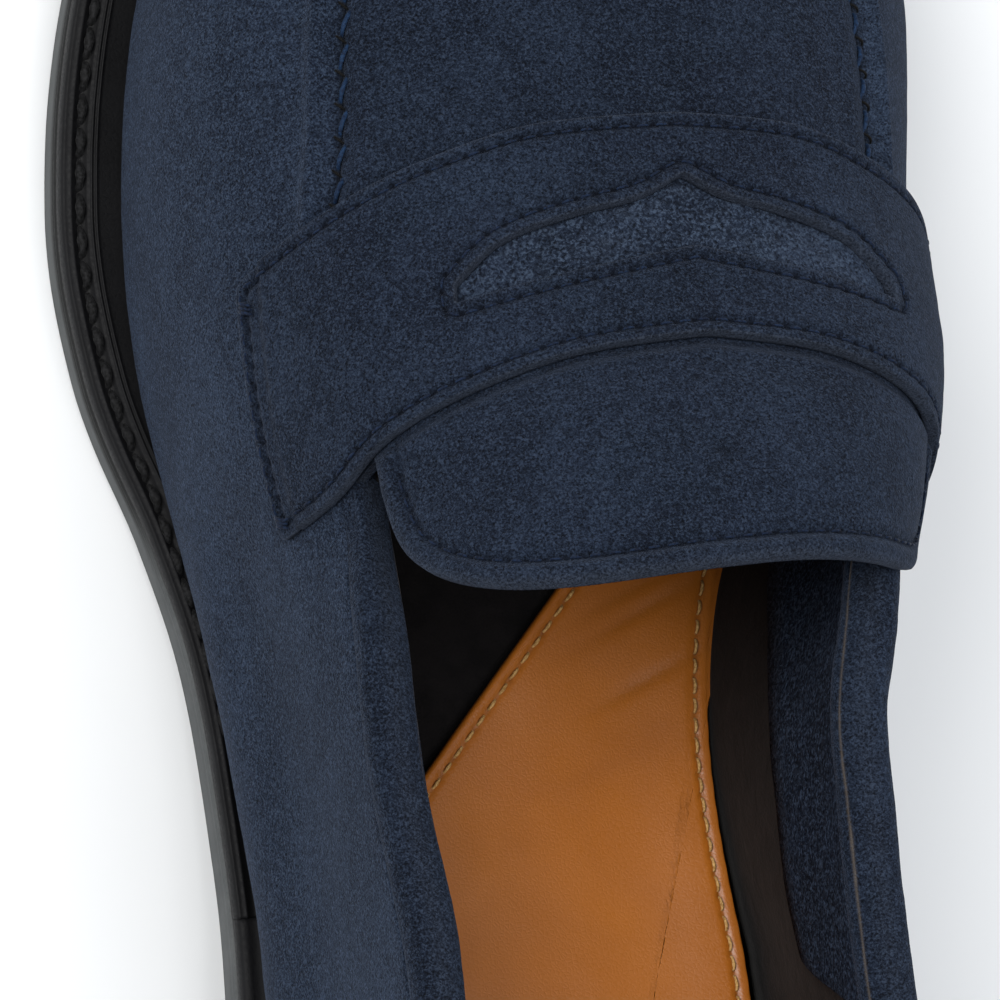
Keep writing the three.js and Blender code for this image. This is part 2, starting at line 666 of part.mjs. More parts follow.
// The forepart cover runs from the sock's slanting front edge to a short straight end at the toe.
const FORE_SOCK_TIP = 8;
piece(
  'forepart_sock',
  sheet(
    12,
    8,
    (i, j, lift) => {
      const side = (front) => rim(lerp(front, toe, i), sockEdge(lerp(front, toe, i)), sockBase);
      const p = side(frontLateral).lerp(side(frontMedial), lerp(0.02, 0.98, j));
      const tip = rim(toe, sockEdge(toe), sockBase);
      p.y = Math.max(p.y, tip.y) - (i === 0 ? 2 * GAP : 0);
      p.z = sockBase(distance(p)) + lift;
      if (i === 1) p.setX(tip.x + (0.5 - j) * FORE_SOCK_TIP).setY(tip.y);
      return p;
    },
    FORE_SOCK_THICKNESS,
    0,
  ),
  blackTextile,
);

// ---------------------------------------------------------------- upper
const stiffenerOut = -SUEDE - GAP;
const liningOut = stiffenerOut - STIFFENER - GAP;
const facingOut = liningOut - LINING - GAP;
const throat = {
  lateral: placeAt(THROAT * longways, 'lateral'),
  medial: placeAt(THROAT * longways, 'medial'),
};

// Upper edge of the side wall: the topline behind the throat, the apron seam in front of it.
function wallTop(u) {
  const l = distance(feather(u));
  const side = sideOf(u);
  const edge = (s) => (l < THROAT * longways ? topline[s](l) : seam[s](l));
  const nearTip = Math.min(Math.abs(wrap(u) - toe), wrap(u), 1 - wrap(u)) / 0.03;
  const mix = 0.5 + 0.5 * Math.min(nearTip, 1) * (side === 'lateral' ? 1 : -1);
  return lerp(edge('medial'), edge('lateral'), mix);
}

const WALL_FOOT = GAP; // the wall stands this far over the welt
const WALL_ROWS = 5;
const STATIONS = 72; // round the outline; the layers of the wall share them and the rows

// Places from one end to the other by way of the shared stations between them.
function places(from, to) {
  const made = [from];
  const clear = 0.25 / STATIONS;
  for (let k = Math.ceil(from * STATIONS); k / STATIONS < to; k++) {
    if (k / STATIONS > from + clear && k / STATIONS < to - clear) made.push(k / STATIONS);
  }
  return [...made, to];
}

// One layer of the wall between two places and two of its rows.
function wallSheet(from, to, out, thickness, lowRow = 0, highRow = WALL_ROWS) {
  const along = places(from, to);
  return sheet(
    highRow - lowRow,
    along.length - 1,
    (i, j, offset) => {
      const u = along[Math.round(j * (along.length - 1))];
      const height = lerp(lowRow, highRow, i) / WALL_ROWS;
      return wallPoint(u, lerp(WALL_FOOT, wallTop(u), height), offset);
    },
    out,
    out - thickness,
  );
}
const BACK_SEAM = 0.0006; // half the gap of the back seam, as a share of the outline
piece('upper_wall', wallSheet(BACK_SEAM, 1 - BACK_SEAM, 0, SUEDE), suede);

const COUNTER_FRONT = 88 * longways;
const COUNTER_ROWS = 4; // the counter and the puff stop one row short of the wall's edge
const PUFF_REAR = 246 * longways;
const stiffener = (from, to) => wallSheet(from, to, stiffenerOut, STIFFENER, 0, COUNTER_ROWS);
piece(
  'heel_counter',
  stiffener(placeAt(COUNTER_FRONT, 'medial') - 1, placeAt(COUNTER_FRONT, 'lateral')),
  board,
);
piece(
  'toe_puff',
  stiffener(placeAt(PUFF_REAR, 'lateral'), placeAt(PUFF_REAR, 'medial')),
  board,
);
const LINING_SEAM = 0.0008; // half the gap between two linings, as a share of the outline
piece(
  'quarter_lining_lateral',
  wallSheet(LINING_SEAM, throat.lateral - LINING_SEAM, liningOut, LINING),
  blackTextile,
);
piece(
  'quarter_lining_medial',
  wallSheet(throat.medial + LINING_SEAM, 1 - LINING_SEAM, liningOut, LINING),
  blackTextile,
);
piece('vamp_lining', wallSheet(throat.lateral, throat.medial, liningOut, LINING), blackTextile);

// Suede facings inside the collar, either side of the throat.
const FACING_REAR = 109 * longways;
const FACING_FRONT = 158 * longways;
const FACING_ROW = 3; // from this row of the wall up
const facing = (from, to) => wallSheet(from, to, facingOut, FACING, FACING_ROW);
piece(
  'collar_facing_lateral',
  facing(placeAt(FACING_REAR, 'lateral'), placeAt(FACING_FRONT, 'lateral')),
  suedeInside,
);
piece(
  'collar_facing_medial',
  facing(placeAt(FACING_FRONT, 'medial'), placeAt(FACING_REAR, 'medial')),
  suedeInside,
);

// Collar binding: a soft roll over the cut edges, from throat to throat round the heel.
const BINDING_FRONT = 152 * longways;
const bindingSection = [
  [GAP, 0.2], [0.6, 0.3], [1, -0.25], [1, -0.75], [0.6, -1.15], [GAP, -1.1],
];
const bindingDepth = wallThickness + FACING + GAP;
piece(
  'collar_binding',
  sweep(56, (t) => {
    const u = lerp(placeAt(BINDING_FRONT, 'medial') - 1, placeAt(BINDING_FRONT, 'lateral'), t);
    return bindingSection.map(([rise, depth], k) => {
      const g = wallTop(u) + (k === 0 || k === 5 ? GAP : rise * BINDING_RISE);
      const offset = depth > 0 ? depth : (depth / 1.1) * bindingDepth;
      return wallPoint(u, g, offset);
    });
  }),
  suede,
);

// Back strip over the back seam.
const STRIP_HALF = 0.0125; // half width, as a share of the outline
piece(
  'back_strip',
  sheet(
    10,
    4,
    (i, j, offset) => {
      const u = lerp(-STRIP_HALF, STRIP_HALF, j);
      return wallPoint(u, lerp(WALL_FOOT, wallTop(u) - 1, i), offset);
    },
    GAP + SUEDE * 0.75,
    GAP,
  ),
  suede,
);

// Apron: patch over the top of the forepart, inside the seam, to under the strap's rear edge.
const strapFront = (s) => curve(STRAP_FRONT)(Math.abs(s)) * longways;
const strapRear = (s) => curve(STRAP_REAR)(Math.abs(s)) * longways;
const APRON_TUCK = 0.4; // the apron reaches this far in front of the strap's rear edge
const APRON_CORNER = 240 * longways;
function seamPoint(u, inset) {
  const p = onSection(section(u), wallTop(u) + inset);
  return new THREE.Vector2(p.x, p.y);
}
// Share of the half girth where the strap's rear edge crosses the apron seam.
function rearCorner(side, inset) {
  let s = TONGUE_SIDE;
  let u = toe;
  for (let i = 0; i < 20; i++) {
    u = placeAt(strapRear(s) + APRON_TUCK, side);
    s = lerp(s, 1 - (wallTop(u) + inset) / section(u).total, 0.5);
  }
  return { s, u };
}
function apronPlan(i, j, inset) {
  const corner = { lateral: placeAt(APRON_CORNER, 'lateral'), medial: placeAt(APRON_CORNER, 'medial') };
  const rearEnd = { lateral: rearCorner('lateral', inset), medial: rearCorner('medial', inset) };
  const left = (t) => seamPoint(lerp(rearEnd.lateral.u, corner.lateral, t), inset);
  const right = (t) => seamPoint(lerp(rearEnd.medial.u, corner.medial, t), inset);
  const front = (t) => seamPoint(lerp(corner.lateral, corner.medial, t), inset);
  const rear = (t) => {
    const s = lerp(rearEnd.lateral.s, -rearEnd.medial.s, t);
    const p = across(strapRear(s) + APRON_TUCK, s);
    return new THREE.Vector2(p.x, p.y);
  };
  const mix = (p, q, t) => p.clone().lerp(q, t);
  const ruled = mix(left(i), right(i), j).add(mix(rear(j), front(j), i));
  const corners = mix(mix(rear(0), rear(1), j), mix(left(1), right(1), j), i);
  return ruled.sub(corners);
}
const apronSheet = (rows, columns, inset, out, thickness) => sheet(
  rows,
  columns,
  (i, j, offset) => {
    const p = apronPlan(i, j, inset);
    return planPoint(p.x, p.y, offset);
  },
  out,
  out - thickness,
);
piece('apron', apronSheet(18, 14, GAP, 0, SUEDE), suede);
piece('apron_lining', apronSheet(14, 10, 2 * GAP, liningOut, LINING), blackTextile);

// Saddle strap with its window, on a thin backing that shows through it.
const strapOut = GAP + STRAP_BACKING + GAP;
const strapPoint = (end, shy) => (i, j, offset) => {
  const s = lerp(end, -end, j);
  return topPoint(lerp(strapRear(s) + shy, strapFront(s) - shy, i), s, offset);
};
const strapSheet = sheet(6, 26, strapPoint(STRAP_END, 0), strapOut + SUEDE, strapOut);
const slotFront = curve(SLOT_FRONT);
const slotRear = curve(SLOT_REAR);
const window = sheet(
  1,
  20,
  (i, j, offset) => {
    const s = lerp(SLOT_END, -SLOT_END, j);
    return topPoint(lerp(slotRear(Math.abs(s)), slotFront(Math.abs(s)), i) * longways, s, offset);
  },
  strapOut + SUEDE + 2,
  strapOut - 1,
);
const BACKING_SHY = 0.8; // the backing stops this far inside the strap's edges
piece('saddle_strap', cut(strapSheet, [window]), suede);
piece(
  'strap_backing',
  sheet(4, 24, strapPoint(STRAP_END - 0.01, BACKING_SHY), GAP + STRAP_BACKING, GAP),
  suedeInside,
);

// Tongue behind the strap: it lies over the front ends of the collar, its lining between them.
const tongueRear = (s) => {
  const side = Math.abs(s) / TONGUE_SIDE;
  return strapRear(0) - (TONGUE_LENGTH - TONGUE_CORNER * side ** 5) * longways;
};
const tongueSheet = (rows, columns, lateral, medial, shy, out, thickness) => sheet(
  rows,
  columns,
  (i, j, offset) => {
    const s = lerp(lateral, -medial, j);
    return topPoint(lerp(tongueRear(s) + shy, strapRear(s) - TONGUE_AXIS_BACK, i), s, offset);
  },
  out,
  out - thickness,
);
const tongueOut = GAP + SUEDE;
piece('tongue', tongueSheet(5, 16, TONGUE_SIDE, TONGUE_SIDE, 0, tongueOut, SUEDE), suede);
const TONGUE_LINING_SHY = 1;
piece(
  'tongue_lining',
  tongueSheet(5, 12, TONGUE_LINING_LATERAL, TONGUE_LINING_MEDIAL, TONGUE_LINING_SHY, 0, LINING),
  blackLeather,
);

// ---------------------------------------------------------------- sewing threads
const evenly = (count, from, to, at) =>
  Array.from({ length: count + 1 }, (_, i) => at(lerp(from, to, i / count)));
const WELT_STITCH_INSET = 2.4; // from the welt's outer edge
const STITCH_INSET = 1.4; // from a cut edge
const threadOver = (base) => base + GAP + UPPER_THREAD / 2;

piece(
  'welt_thread',
  thread(
    evenly(64, placeAt(RAND_FRONT + 8, 'lateral'), placeAt(RAND_FRONT + 8, 'medial'), (u) =>
      rim(u, Math.max(outer(u) - WELT_STITCH_INSET, 1), (l) => weltTop(l) + GAP + WELT_THREAD / 2)),
    WELT_THREAD,
  ),
  blackThread,
);
const APRON_STITCH_REAR = (STRAP_FRONT[3][1] + 8) * longways; // just in front of the strap
piece(
  'apron_thread',
  thread(
    evenly(40, placeAt(APRON_STITCH_REAR, 'lateral'), placeAt(APRON_STITCH_REAR, 'medial'), (u) =>
      wallPoint(u, wallTop(u) - STITCH_INSET, threadOver(0))),
    UPPER_THREAD,
  ),
  blueThread,
);

// Closed rows of stitching on the strap: one inside its edge, one round the window.
const strapLevel = threadOver(strapOut + SUEDE);
function strapLoop(end, rear, front, count, endCount) {
  const over = (l, s) => topPoint(l, s, strapLevel);
  const forth = evenly(count, end, -end, (s) => over(front(s), s));
  const down = evenly(endCount, 0, 1, (t) => over(lerp(front(-end), rear(-end), t), -end));
  const back = evenly(count, -end, end, (s) => over(rear(s), s));
  const up = evenly(endCount, 0, 1, (t) => over(lerp(rear(end), front(end), t), end));
  const inner = (points) => points.slice(1, -1);
  return thread([...forth, ...inner(down), ...back, ...inner(up)], UPPER_THREAD, true);
}
piece(
  'strap_thread',
  strapLoop(
    STRAP_END - 0.025,
    (s) => strapRear(s) + STITCH_INSET,
    (s) => strapFront(s) - STITCH_INSET,
    30,
    7,
  ),
  blueThread,
);
piece(
  'window_thread',
  strapLoop(
    SLOT_END + 0.015,
    (s) => slotRear(Math.abs(s)) * longways - STITCH_INSET,
    (s) => slotFront(Math.abs(s)) * longways + STITCH_INSET,
    22,
    1,
  ),
  blueThread,
);
const TONGUE_STITCH = 3; // from the tongue's rear edge
const TONGUE_STITCH_END = TONGUE_SIDE - 0.065;
piece(
  'tongue_thread',
  thread(
    evenly(30, TONGUE_STITCH_END, -TONGUE_STITCH_END, (s) =>
      topPoint(tongueRear(s) + TONGUE_STITCH, s, threadOver(tongueOut))),
    UPPER_THREAD,
  ),
  blueThread,
);
const COLLAR_STITCH = 2.6; // below the cut edge of the upper
const COLLAR_STITCH_FRONT = BINDING_FRONT - 2;
piece(
  'collar_thread',
  thread(
    evenly(52, placeAt(COLLAR_STITCH_FRONT, 'medial') - 1, placeAt(COLLAR_STITCH_FRONT, 'lateral'), (u) => {
      const overStrip = Math.abs(u) < STRIP_HALF * 2 ? GAP + SUEDE : 0;
      return wallPoint(u, wallTop(u) - COLLAR_STITCH, threadOver(overStrip));
    }),
    UPPER_THREAD,
  ),
  blueThread,
);
const SOCK_STITCH = 1.8;
piece(
  'sock_thread',
  thread(
    evenly(44, frontMedial - 1 + 0.004, frontLateral - 0.004, (u) =>
      rim(u, sockEdge(u) - SOCK_STITCH, (l) => sockTop(l) + GAP + UPPER_THREAD / 2)),
    UPPER_THREAD,
  ),
  creamThread,
);

// ---------------------------------------------------------------- origin
// Bottom centre of the box: middle of the outsole in plan, tread at height zero.
const box = new THREE.Box3();
shoe.children.forEach((mesh) => {
  mesh.geometry.computeBoundingBox();
  box.union(mesh.geometry.boundingBox);
});
const centre = box.getCenter(new THREE.Vector3());
shoe.children.forEach((mesh) => mesh.position.set(-centre.x, -centre.y, 0));

export default shoe;
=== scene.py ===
import math

import bmesh
import bpy
import numpy as np
from mathutils import Matrix, Vector, kdtree

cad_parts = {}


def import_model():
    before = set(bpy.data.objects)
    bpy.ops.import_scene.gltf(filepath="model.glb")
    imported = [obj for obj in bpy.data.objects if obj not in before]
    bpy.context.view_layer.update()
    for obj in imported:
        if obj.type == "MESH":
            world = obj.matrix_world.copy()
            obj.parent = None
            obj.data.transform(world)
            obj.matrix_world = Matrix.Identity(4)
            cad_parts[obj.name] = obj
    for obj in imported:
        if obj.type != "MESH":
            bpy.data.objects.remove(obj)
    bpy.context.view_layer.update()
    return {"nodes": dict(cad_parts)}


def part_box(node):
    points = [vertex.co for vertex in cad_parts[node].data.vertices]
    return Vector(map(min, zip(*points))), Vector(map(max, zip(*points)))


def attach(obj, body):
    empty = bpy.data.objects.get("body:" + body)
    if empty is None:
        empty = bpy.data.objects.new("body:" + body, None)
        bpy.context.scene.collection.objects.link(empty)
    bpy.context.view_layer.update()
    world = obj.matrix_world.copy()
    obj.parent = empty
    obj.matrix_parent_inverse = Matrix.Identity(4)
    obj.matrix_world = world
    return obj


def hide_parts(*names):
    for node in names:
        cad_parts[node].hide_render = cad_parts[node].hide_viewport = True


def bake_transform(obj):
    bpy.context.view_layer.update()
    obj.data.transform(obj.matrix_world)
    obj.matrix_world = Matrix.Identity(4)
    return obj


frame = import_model()

# A penny loafer, left shoe, in navy suede. The last is worked in millimetres, with l the distance
# from the back of the last, u the place round its outline and g the girth above the feather line.
MM = 0.001
LAST_LENGTH = 290
MIDDLE = LAST_LENGTH / 2
SEAT_RIDGE = 27

LATERAL_FEATHER = [
    (-3, 0), (16.5, 8), (27.5, 28), (32.5, 58), (34.5, 90), (34.8, 120), (38.3, 150),
    (45.4, 178), (47.7, 203), (45.2, 229), (38.5, 250), (25.5, 270.5), (8, 285),
]
MEDIAL_FEATHER = [
    (-9, 290), (-24, 287.5), (-38.5, 273.5), (-47, 250), (-49.8, 227), (-46.8, 203),
    (-40, 176), (-33, 150), (-29.5, 122), (-30.5, 90), (-33, 58), (-31, 28), (-22, 8),
]


def curve(*knots):
    """Monotone cubic through (x, y) knots, flat beyond them."""
    x, y = np.array(knots, float).T
    step = np.diff(x)
    rise = np.diff(y) / step
    slope = np.zeros(len(x))
    slope[0], slope[-1] = rise[0], rise[-1]
    for k in range(1, len(x) - 1):
        if rise[k - 1] * rise[k] > 0:
            before, after = 2 * step[k] + step[k - 1], step[k] + 2 * step[k - 1]
            slope[k] = (before + after) / (before / rise[k - 1] + after / rise[k])

    def read(at):
        at = np.clip(np.asarray(at, float), x[0], x[-1])
        k = np.clip(np.searchsorted(x, at, side="right") - 1, 0, len(step) - 1)
        t = (at - x[k]) / step[k]
        return (
            y[k] * (1 + 2 * t) * (1 - t) ** 2
            + step[k] * slope[k] * t * (1 - t) ** 2
            + y[k + 1] * t * t * (3 - 2 * t)
            + step[k] * slope[k + 1] * t * t * (t - 1)
        )

    return read


SPINE_X = curve((0, -4), (60, -4), (110, -4.5), (150, -5), (190, -5.5), (230, -6), (290, -7))
RIDGE = curve(
    (0, 112), (40, 112), (90, 106), (130, 93), (160, 79.5), (180, 70.5), (200, 62.5),
    (225, 55), (250, 49), (290, 40),
)
HEEL_RISE = curve((0, 1), (40, 0.98), (70, 0.89), (100, 0.65), (140, 0.24), (175, 0.03), (195, 0))
TOE_RISE = curve((217, 0), (235, 0.13), (265, 0.53), (290, 1), (298, 1.15))
FULLNESS = {
    "lateral": curve(
        (0, 3.8), (30, 3.2), (60, 2.6), (106, 2.6), (132, 3.1), (150, 2.8), (165, 2.3),
        (205, 2.2), (250, 2.5), (290, 2.9),
    ),
    "medial": curve(
        (0, 3.8), (30, 3.2), (60, 2.5), (106, 2.5), (132, 2.6), (150, 2.9), (177, 3.2),
        (205, 2.5), (250, 2.5), (290, 2.9),
    ),
}
BULGE = {
    "lateral": curve((0, 0.06), (60, 0.04), (120, 0.05), (160, 0.05), (200, 0.04), (290, 0.03)),
    "medial": curve(
        (0, 0.06), (60, 0.04), (120, 0.04), (150, 0.06), (177, 0.09), (205, 0.05), (290, 0.03)
    ),
}
HOLLOW = {
    "lateral": curve((0, 0), (290, 0)),
    "medial": curve((80, 0), (108, 0.12), (132, 0.16), (150, 0.09), (163, 0)),
}
WELT = {
    "lateral": curve(
        (0, 4), (100, 4), (125, 3.2), (150, 2.4), (165, 2.6), (185, 5.4), (205, 6.7), (290, 6.5)
    ),
    "medial": curve((0, 4), (60, 3.5), (100, 2.5), (150, 3.5), (190, 6), (215, 6.8), (290, 6.5)),
}
THROAT = 163
TOPLINE = {
    "lateral": curve((0, 66), (18, 63), (50, 53), (90, 48), (130, 47.5), (150, 48), (163, 47)),
    "medial": curve((0, 66), (18, 64), (50, 56), (90, 53.5), (130, 58), (150, 60), (163, 58)),
}
SEAM = {
    "lateral": curve((163, 47), (185, 46.2), (205, 45.8), (225, 43.4), (250, 40.6), (290, 37.5)),
    "medial": curve((163, 58), (178, 52.8), (205, 48.4), (225, 45.4), (250, 41.6), (290, 37.5)),
}
STRAP_FRONT = curve((0, 209), (0.18, 207.9), (0.34, 204), (0.53, 196.4), (0.66, 190.4))
STRAP_REAR = curve(
    (0, 181.7), (0.15, 180), (0.29, 176.2), (0.42, 170.8), (0.5, 165.4), (0.66, 159.9)
)
SLOT_FRONT = curve((0, 201.4), (0.06, 198.6), (0.15, 196.6), (0.25, 193.4), (0.31, 188.6))
SLOT_REAR = curve((0, 192.3), (0.2, 188.6), (0.31, 186.2))
STRAP_END = 0.632
SLOT_END = 0.31
TONGUE_SIDE = 0.425
TONGUE_LENGTH = 27.5

HEEL_HEIGHT = 18.7
TOP_PIECE = 5.8
LIFT = 3.9
LIFTS = 3
GAP = 0.3
SUEDE = 1.6
LINING_OUT = -3.2
FACING_OUT = -4.5
INSOLE_EDGE = -5.0
SOCK_EDGE = -6.2
SOCK_WAIST = curve((112, 0), (150, 3.6), (172, 2.6), (198, 0))
SPINE_ENDS = (42, 248)
SPINE_BLEND = 22


def tread_z(l):
    return HEEL_HEIGHT * HEEL_RISE(l) + 8 * TOE_RISE(l)


def outsole_z(l):
    return tread_z(l) + 5


def feather_z(l):
    return tread_z(l) + 8.3


def ridge_z(l):
    return feather_z(0) + RIDGE(l) - SEAT_RIDGE


def sock_z(l):
    return feather_z(l) + 6.7


# ---------------------------------------------------------------- the last
def closed_curve(knots, samples):
    """Centripetal Catmull-Rom loop through the knots, at places evenly spread along it."""
    points = np.array(knots, float)
    count = len(points)
    t = np.linspace(0, count, samples * 4 + 1)[:-1]
    k = t.astype(int)
    p0, p1, p2, p3 = (points[(k + shift) % count] for shift in (-1, 0, 1, 2))

    def gap(a, b):
        return (((a - b) ** 2).sum(1) ** 0.25)[:, None]

    d0, d1, d2 = gap(p0, p1), gap(p1, p2), gap(p2, p3)
    m1 = ((p1 - p0) / d0 - (p2 - p0) / (d0 + d1) + (p2 - p1) / d1) * d1
    m2 = ((p2 - p1) / d1 - (p3 - p1) / (d1 + d2) + (p3 - p2) / d2) * d1
    w = (t - k)[:, None]
    loop = p1 + m1 * w + (3 * (p2 - p1) - 2 * m1 - m2) * w**2 + (2 * (p1 - p2) + m1 + m2) * w**3
    loop = np.vstack([loop, loop[:1]])
    run = np.concatenate([[0], np.cumsum(np.linalg.norm(np.diff(loop, axis=0), axis=1))])
    even = np.linspace(0, run[-1], samples + 1)
    return np.stack([np.interp(even, run, loop[:, c]) for c in (0, 1)], 1)


PLACES = 2880
OUTLINE = closed_curve([(x, MIDDLE - l) for x, l in LATERAL_FEATHER + MEDIAL_FEATHER], PLACES)
U = np.linspace(0, 1, PLACES + 1)
TOE = U[np.argmin(OUTLINE[:, 1])]


def unit(vectors):
    return vectors / np.maximum(np.linalg.norm(vectors, axis=-1, keepdims=True), 1e-12)


def around(table, u):
    """A table kept at the places U, read at any u."""
    at = (np.asarray(u, float) % 1) * PLACES
    k = np.minimum(at.astype(int), PLACES - 1)
    w = (at - k).reshape(at.shape + (1,) * (table.ndim - 1))
    return table[k] * (1 - w) + table[k + 1] * w


def outline_normal():
    step = np.roll(OUTLINE[:-1], -1, 0) - np.roll(OUTLINE[:-1], 1, 0)
    out = unit(np.stack([-step[:, 1], step[:, 0]], 1))
    return np.vstack([out, out[:1]])


OUTWARD = outline_normal()


def spine_place(l):
    """Where along the ridge each section ends: l, held softly between the ends of the spine."""
    def soft(v):
        return np.logaddexp(0, v * 3 / SPINE_BLEND) * SPINE_BLEND / 3

    low, high = SPINE_ENDS
    return high - soft(high - (low + soft(l - low)))


L_AT = MIDDLE - OUTLINE[:, 1]
SPINE_AT = spine_place(L_AT)
SPINE = np.stack([SPINE_X(SPINE_AT), MIDDLE - SPINE_AT], 1)


def by_side(pair, near=0.02):
    """Lateral or medial value at every place, mixed over a short run at the toe and the back."""
    tip = np.minimum(np.minimum(np.abs(U - TOE), U), 1 - U) / near
    mix = 0.5 + 0.5 * np.minimum(tip, 1) * np.where(U < TOE, 1, -1)
    return pair["medial"](L_AT) * (1 - mix) + pair["lateral"](L_AT) * mix


def edge_girth(side):
    """Girth of the wall's upper edge: the top line behind the throat, the apron seam before it."""
    return lambda l: np.where(l < THROAT, TOPLINE[side](l), SEAM[side](l))


N_AT = by_side(FULLNESS)
B_AT = by_side(BULGE)
HOLLOW_AT = by_side(HOLLOW)
WAIST_HEIGHT = (0.42, 0.24)
PINCH_HEIGHT = (0.72, 0.22)
# The medial collar is drawn in a little more just behind the tongue.
PINCH_AT = np.where(U > TOE, 0.045 * np.exp(-(((L_AT - 139.5) / 8.5) ** 2)), 0.0)
OUTER_AT = by_side(WELT)
EDGE_AT = by_side({side: edge_girth(side) for side in SEAM}, near=0.03)
GIRTH_STEPS = 160


def dent(rise, middle, spread):
    """Share of a hollow at a share of the height, about its middle."""
    return np.exp(-(((rise - middle) / spread) ** 2))


def last_grid():
    """Points, normals and total girth of the half sections at every place, by share of girth."""
    phi = np.linspace(0, math.pi / 2, 241)
    c, s = np.maximum(np.cos(phi), 0), np.sin(phi)
    power = 2 / N_AT[:, None]
    hollow = HOLLOW_AT[:, None] * dent(s**power, *WAIST_HEIGHT)
    hollow = hollow + PINCH_AT[:, None] * dent(s**power, *PINCH_HEIGHT)
    reach = c**power + B_AT[:, None] * np.sin(2 * phi) * c - hollow
    plan = SPINE[:, None] + reach[..., None] * (OUTLINE - SPINE)[:, None]
    low, high = feather_z(L_AT)[:, None], ridge_z(SPINE_AT)[:, None]
    points = np.concatenate([plan, (low + (high - low) * s**power)[..., None]], 2)
    run = np.cumsum(np.linalg.norm(np.diff(points, axis=1), axis=2), 1)
    run = np.hstack([np.zeros((len(run), 1)), run])
    share = np.linspace(0, 1, GIRTH_STEPS + 1)
    even = np.stack([
        np.stack([np.interp(share * r[-1], r, p[:, k]) for k in range(3)], 1)
        for r, p in zip(run, points)
    ])
    along = np.roll(even[:-1], -2, 0) - np.roll(even[:-1], 2, 0)
    normal = unit(np.cross(np.gradient(even[:-1], axis=1), along))
    return even, np.concatenate([normal, normal[:1]]), run[:, -1]


POINTS, NORMALS, TOTAL = last_grid()


def on_last(u, g, offset=0.0):
    """Points offset from the last, by place round the outline and girth."""
    u, g, offset = np.broadcast_arrays(np.asarray(u, float) % 1, g, offset)
    share = np.clip(g / around(TOTAL, u), 0, 1) * GIRTH_STEPS
    row = np.minimum((u * PLACES).astype(int), PLACES - 1)
    column = np.minimum(share.astype(int), GIRTH_STEPS - 1)
    v, w = (u * PLACES - row)[..., None], (share - column)[..., None]

    def read(grid):
        near = grid[row, column] * (1 - w) + grid[row, column + 1] * w
        far = grid[row + 1, column] * (1 - w) + grid[row + 1, column + 1] * w
        return near * (1 - v) + far * v

    below = np.minimum(np.asarray(g), 0)[..., None] * np.array([0, 0, 1.0])
    return read(POINTS) + unit(read(NORMALS)) * offset[..., None] + below


LATERAL = U <= TOE
MEDIAL = U >= TOE


def place(l, side):
    """Place round the outline at a distance along the shoe."""
    half = LATERAL if side == "lateral" else MEDIAL
    order = np.argsort(L_AT[half], kind="stable")
    return np.interp(l, L_AT[half][order], U[half][order])


def on_top(l, s, offset=0.0):
    """Points by distance along the shoe and share s of the half girth: 0 ridge, +1 lateral feather."""
    l, s = np.broadcast_arrays(np.asarray(l, float), np.asarray(s, float))
    u = np.where(s >= 0, place(l, "lateral"), place(l, "medial"))
    return on_last(u, around(TOTAL, u) * (1 - np.abs(s)), offset)


def rim(u, out, z):
    """Points of the outline moved outwards, at the height z of that distance along the shoe."""
    u, out = np.broadcast_arrays(np.asarray(u, float), np.asarray(out, float))
    plan = around(OUTLINE, u) + around(OUTWARD, u) * out[..., None]
    height = z(MIDDLE - plan[..., 1]) if callable(z) else np.broadcast_to(z, u.shape)
    return np.concatenate([plan, height[..., None]], -1)


HALVINGS = 34


def over_plan(x, y):
    """Height of the last over places in plan, for the top of the forepart."""
    spoke = OUTLINE - SPINE
    p = np.stack([x.ravel(), y.ravel()], 1)

    def arm(u):
        here, ray = around(SPINE, u), around(spoke, u)
        leg = p - here
        turn = ray[:, 0] * leg[:, 1] - ray[:, 1] * leg[:, 0]
        return turn, (leg * ray).sum(1) / (ray**2).sum(1)

    front = np.full(len(p), TOE)
    lateral = arm(front)[0] > 0
    back = np.where(lateral, place(140.0, "lateral"), place(140.0, "medial"))
    for _ in range(HALVINGS):
        half = (back + front) / 2
        ahead = (arm(half)[0] > 0) == lateral
        front = np.where(ahead, half, front)
        back = np.where(ahead, back, half)
    share = np.clip(arm(back)[1], 0, 1)
    power, bulge, waist = 2 / around(N_AT, back), around(B_AT, back), around(HOLLOW_AT, back)
    low = np.zeros(len(p))
    high = np.full(len(p), math.pi / 2)
    for _ in range(HALVINGS):
        phi = (low + high) / 2
        reach = np.cos(phi) ** power + bulge * np.sin(2 * phi) * np.cos(phi)
        reach = reach - waist * dent(np.sin(phi) ** power, *WAIST_HEIGHT)
        low = np.where(reach > share, phi, low)
        high = np.where(reach > share, high, phi)
    foot, top = feather_z(around(L_AT, back)), ridge_z(around(SPINE_AT, back))
    return (foot + (top - foot) * np.sin(low) ** power).reshape(x.shape)


# The shoe's own frame: the outline of the outsole is centred on the CAD outsole.
sole_edge = rim(U, OUTER_AT, 0.0)[:, :2]
low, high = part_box("outsole")
ORIGIN = np.array([
    (low[k] + high[k]) / 2 / MM - (sole_edge[:, k].min() + sole_edge[:, k].max()) / 2 for k in (0, 1)
] + [0.0])


# ---------------------------------------------------------------- noise and meshes
def value_noise(points, scale, seed):
    """Smooth noise between -1 and 1 over points in millimetres, with features of the given size."""
    rng = np.random.RandomState(seed)
    lattice = rng.uniform(-1, 1, (32, 32, 32))
    at = points / scale + 100
    cell = np.floor(at).astype(int)
    w = at - cell
    w = w * w * (3 - 2 * w)
    total = 0
    for corner in np.ndindex(2, 2, 2):
        weight = np.prod([w[..., k] if corner[k] else 1 - w[..., k] for k in range(3)], axis=0)
        index = [(cell[..., k] + corner[k]) % 32 for k in range(3)]
        total = total + weight * lattice[index[0], index[1], index[2]]
    return total


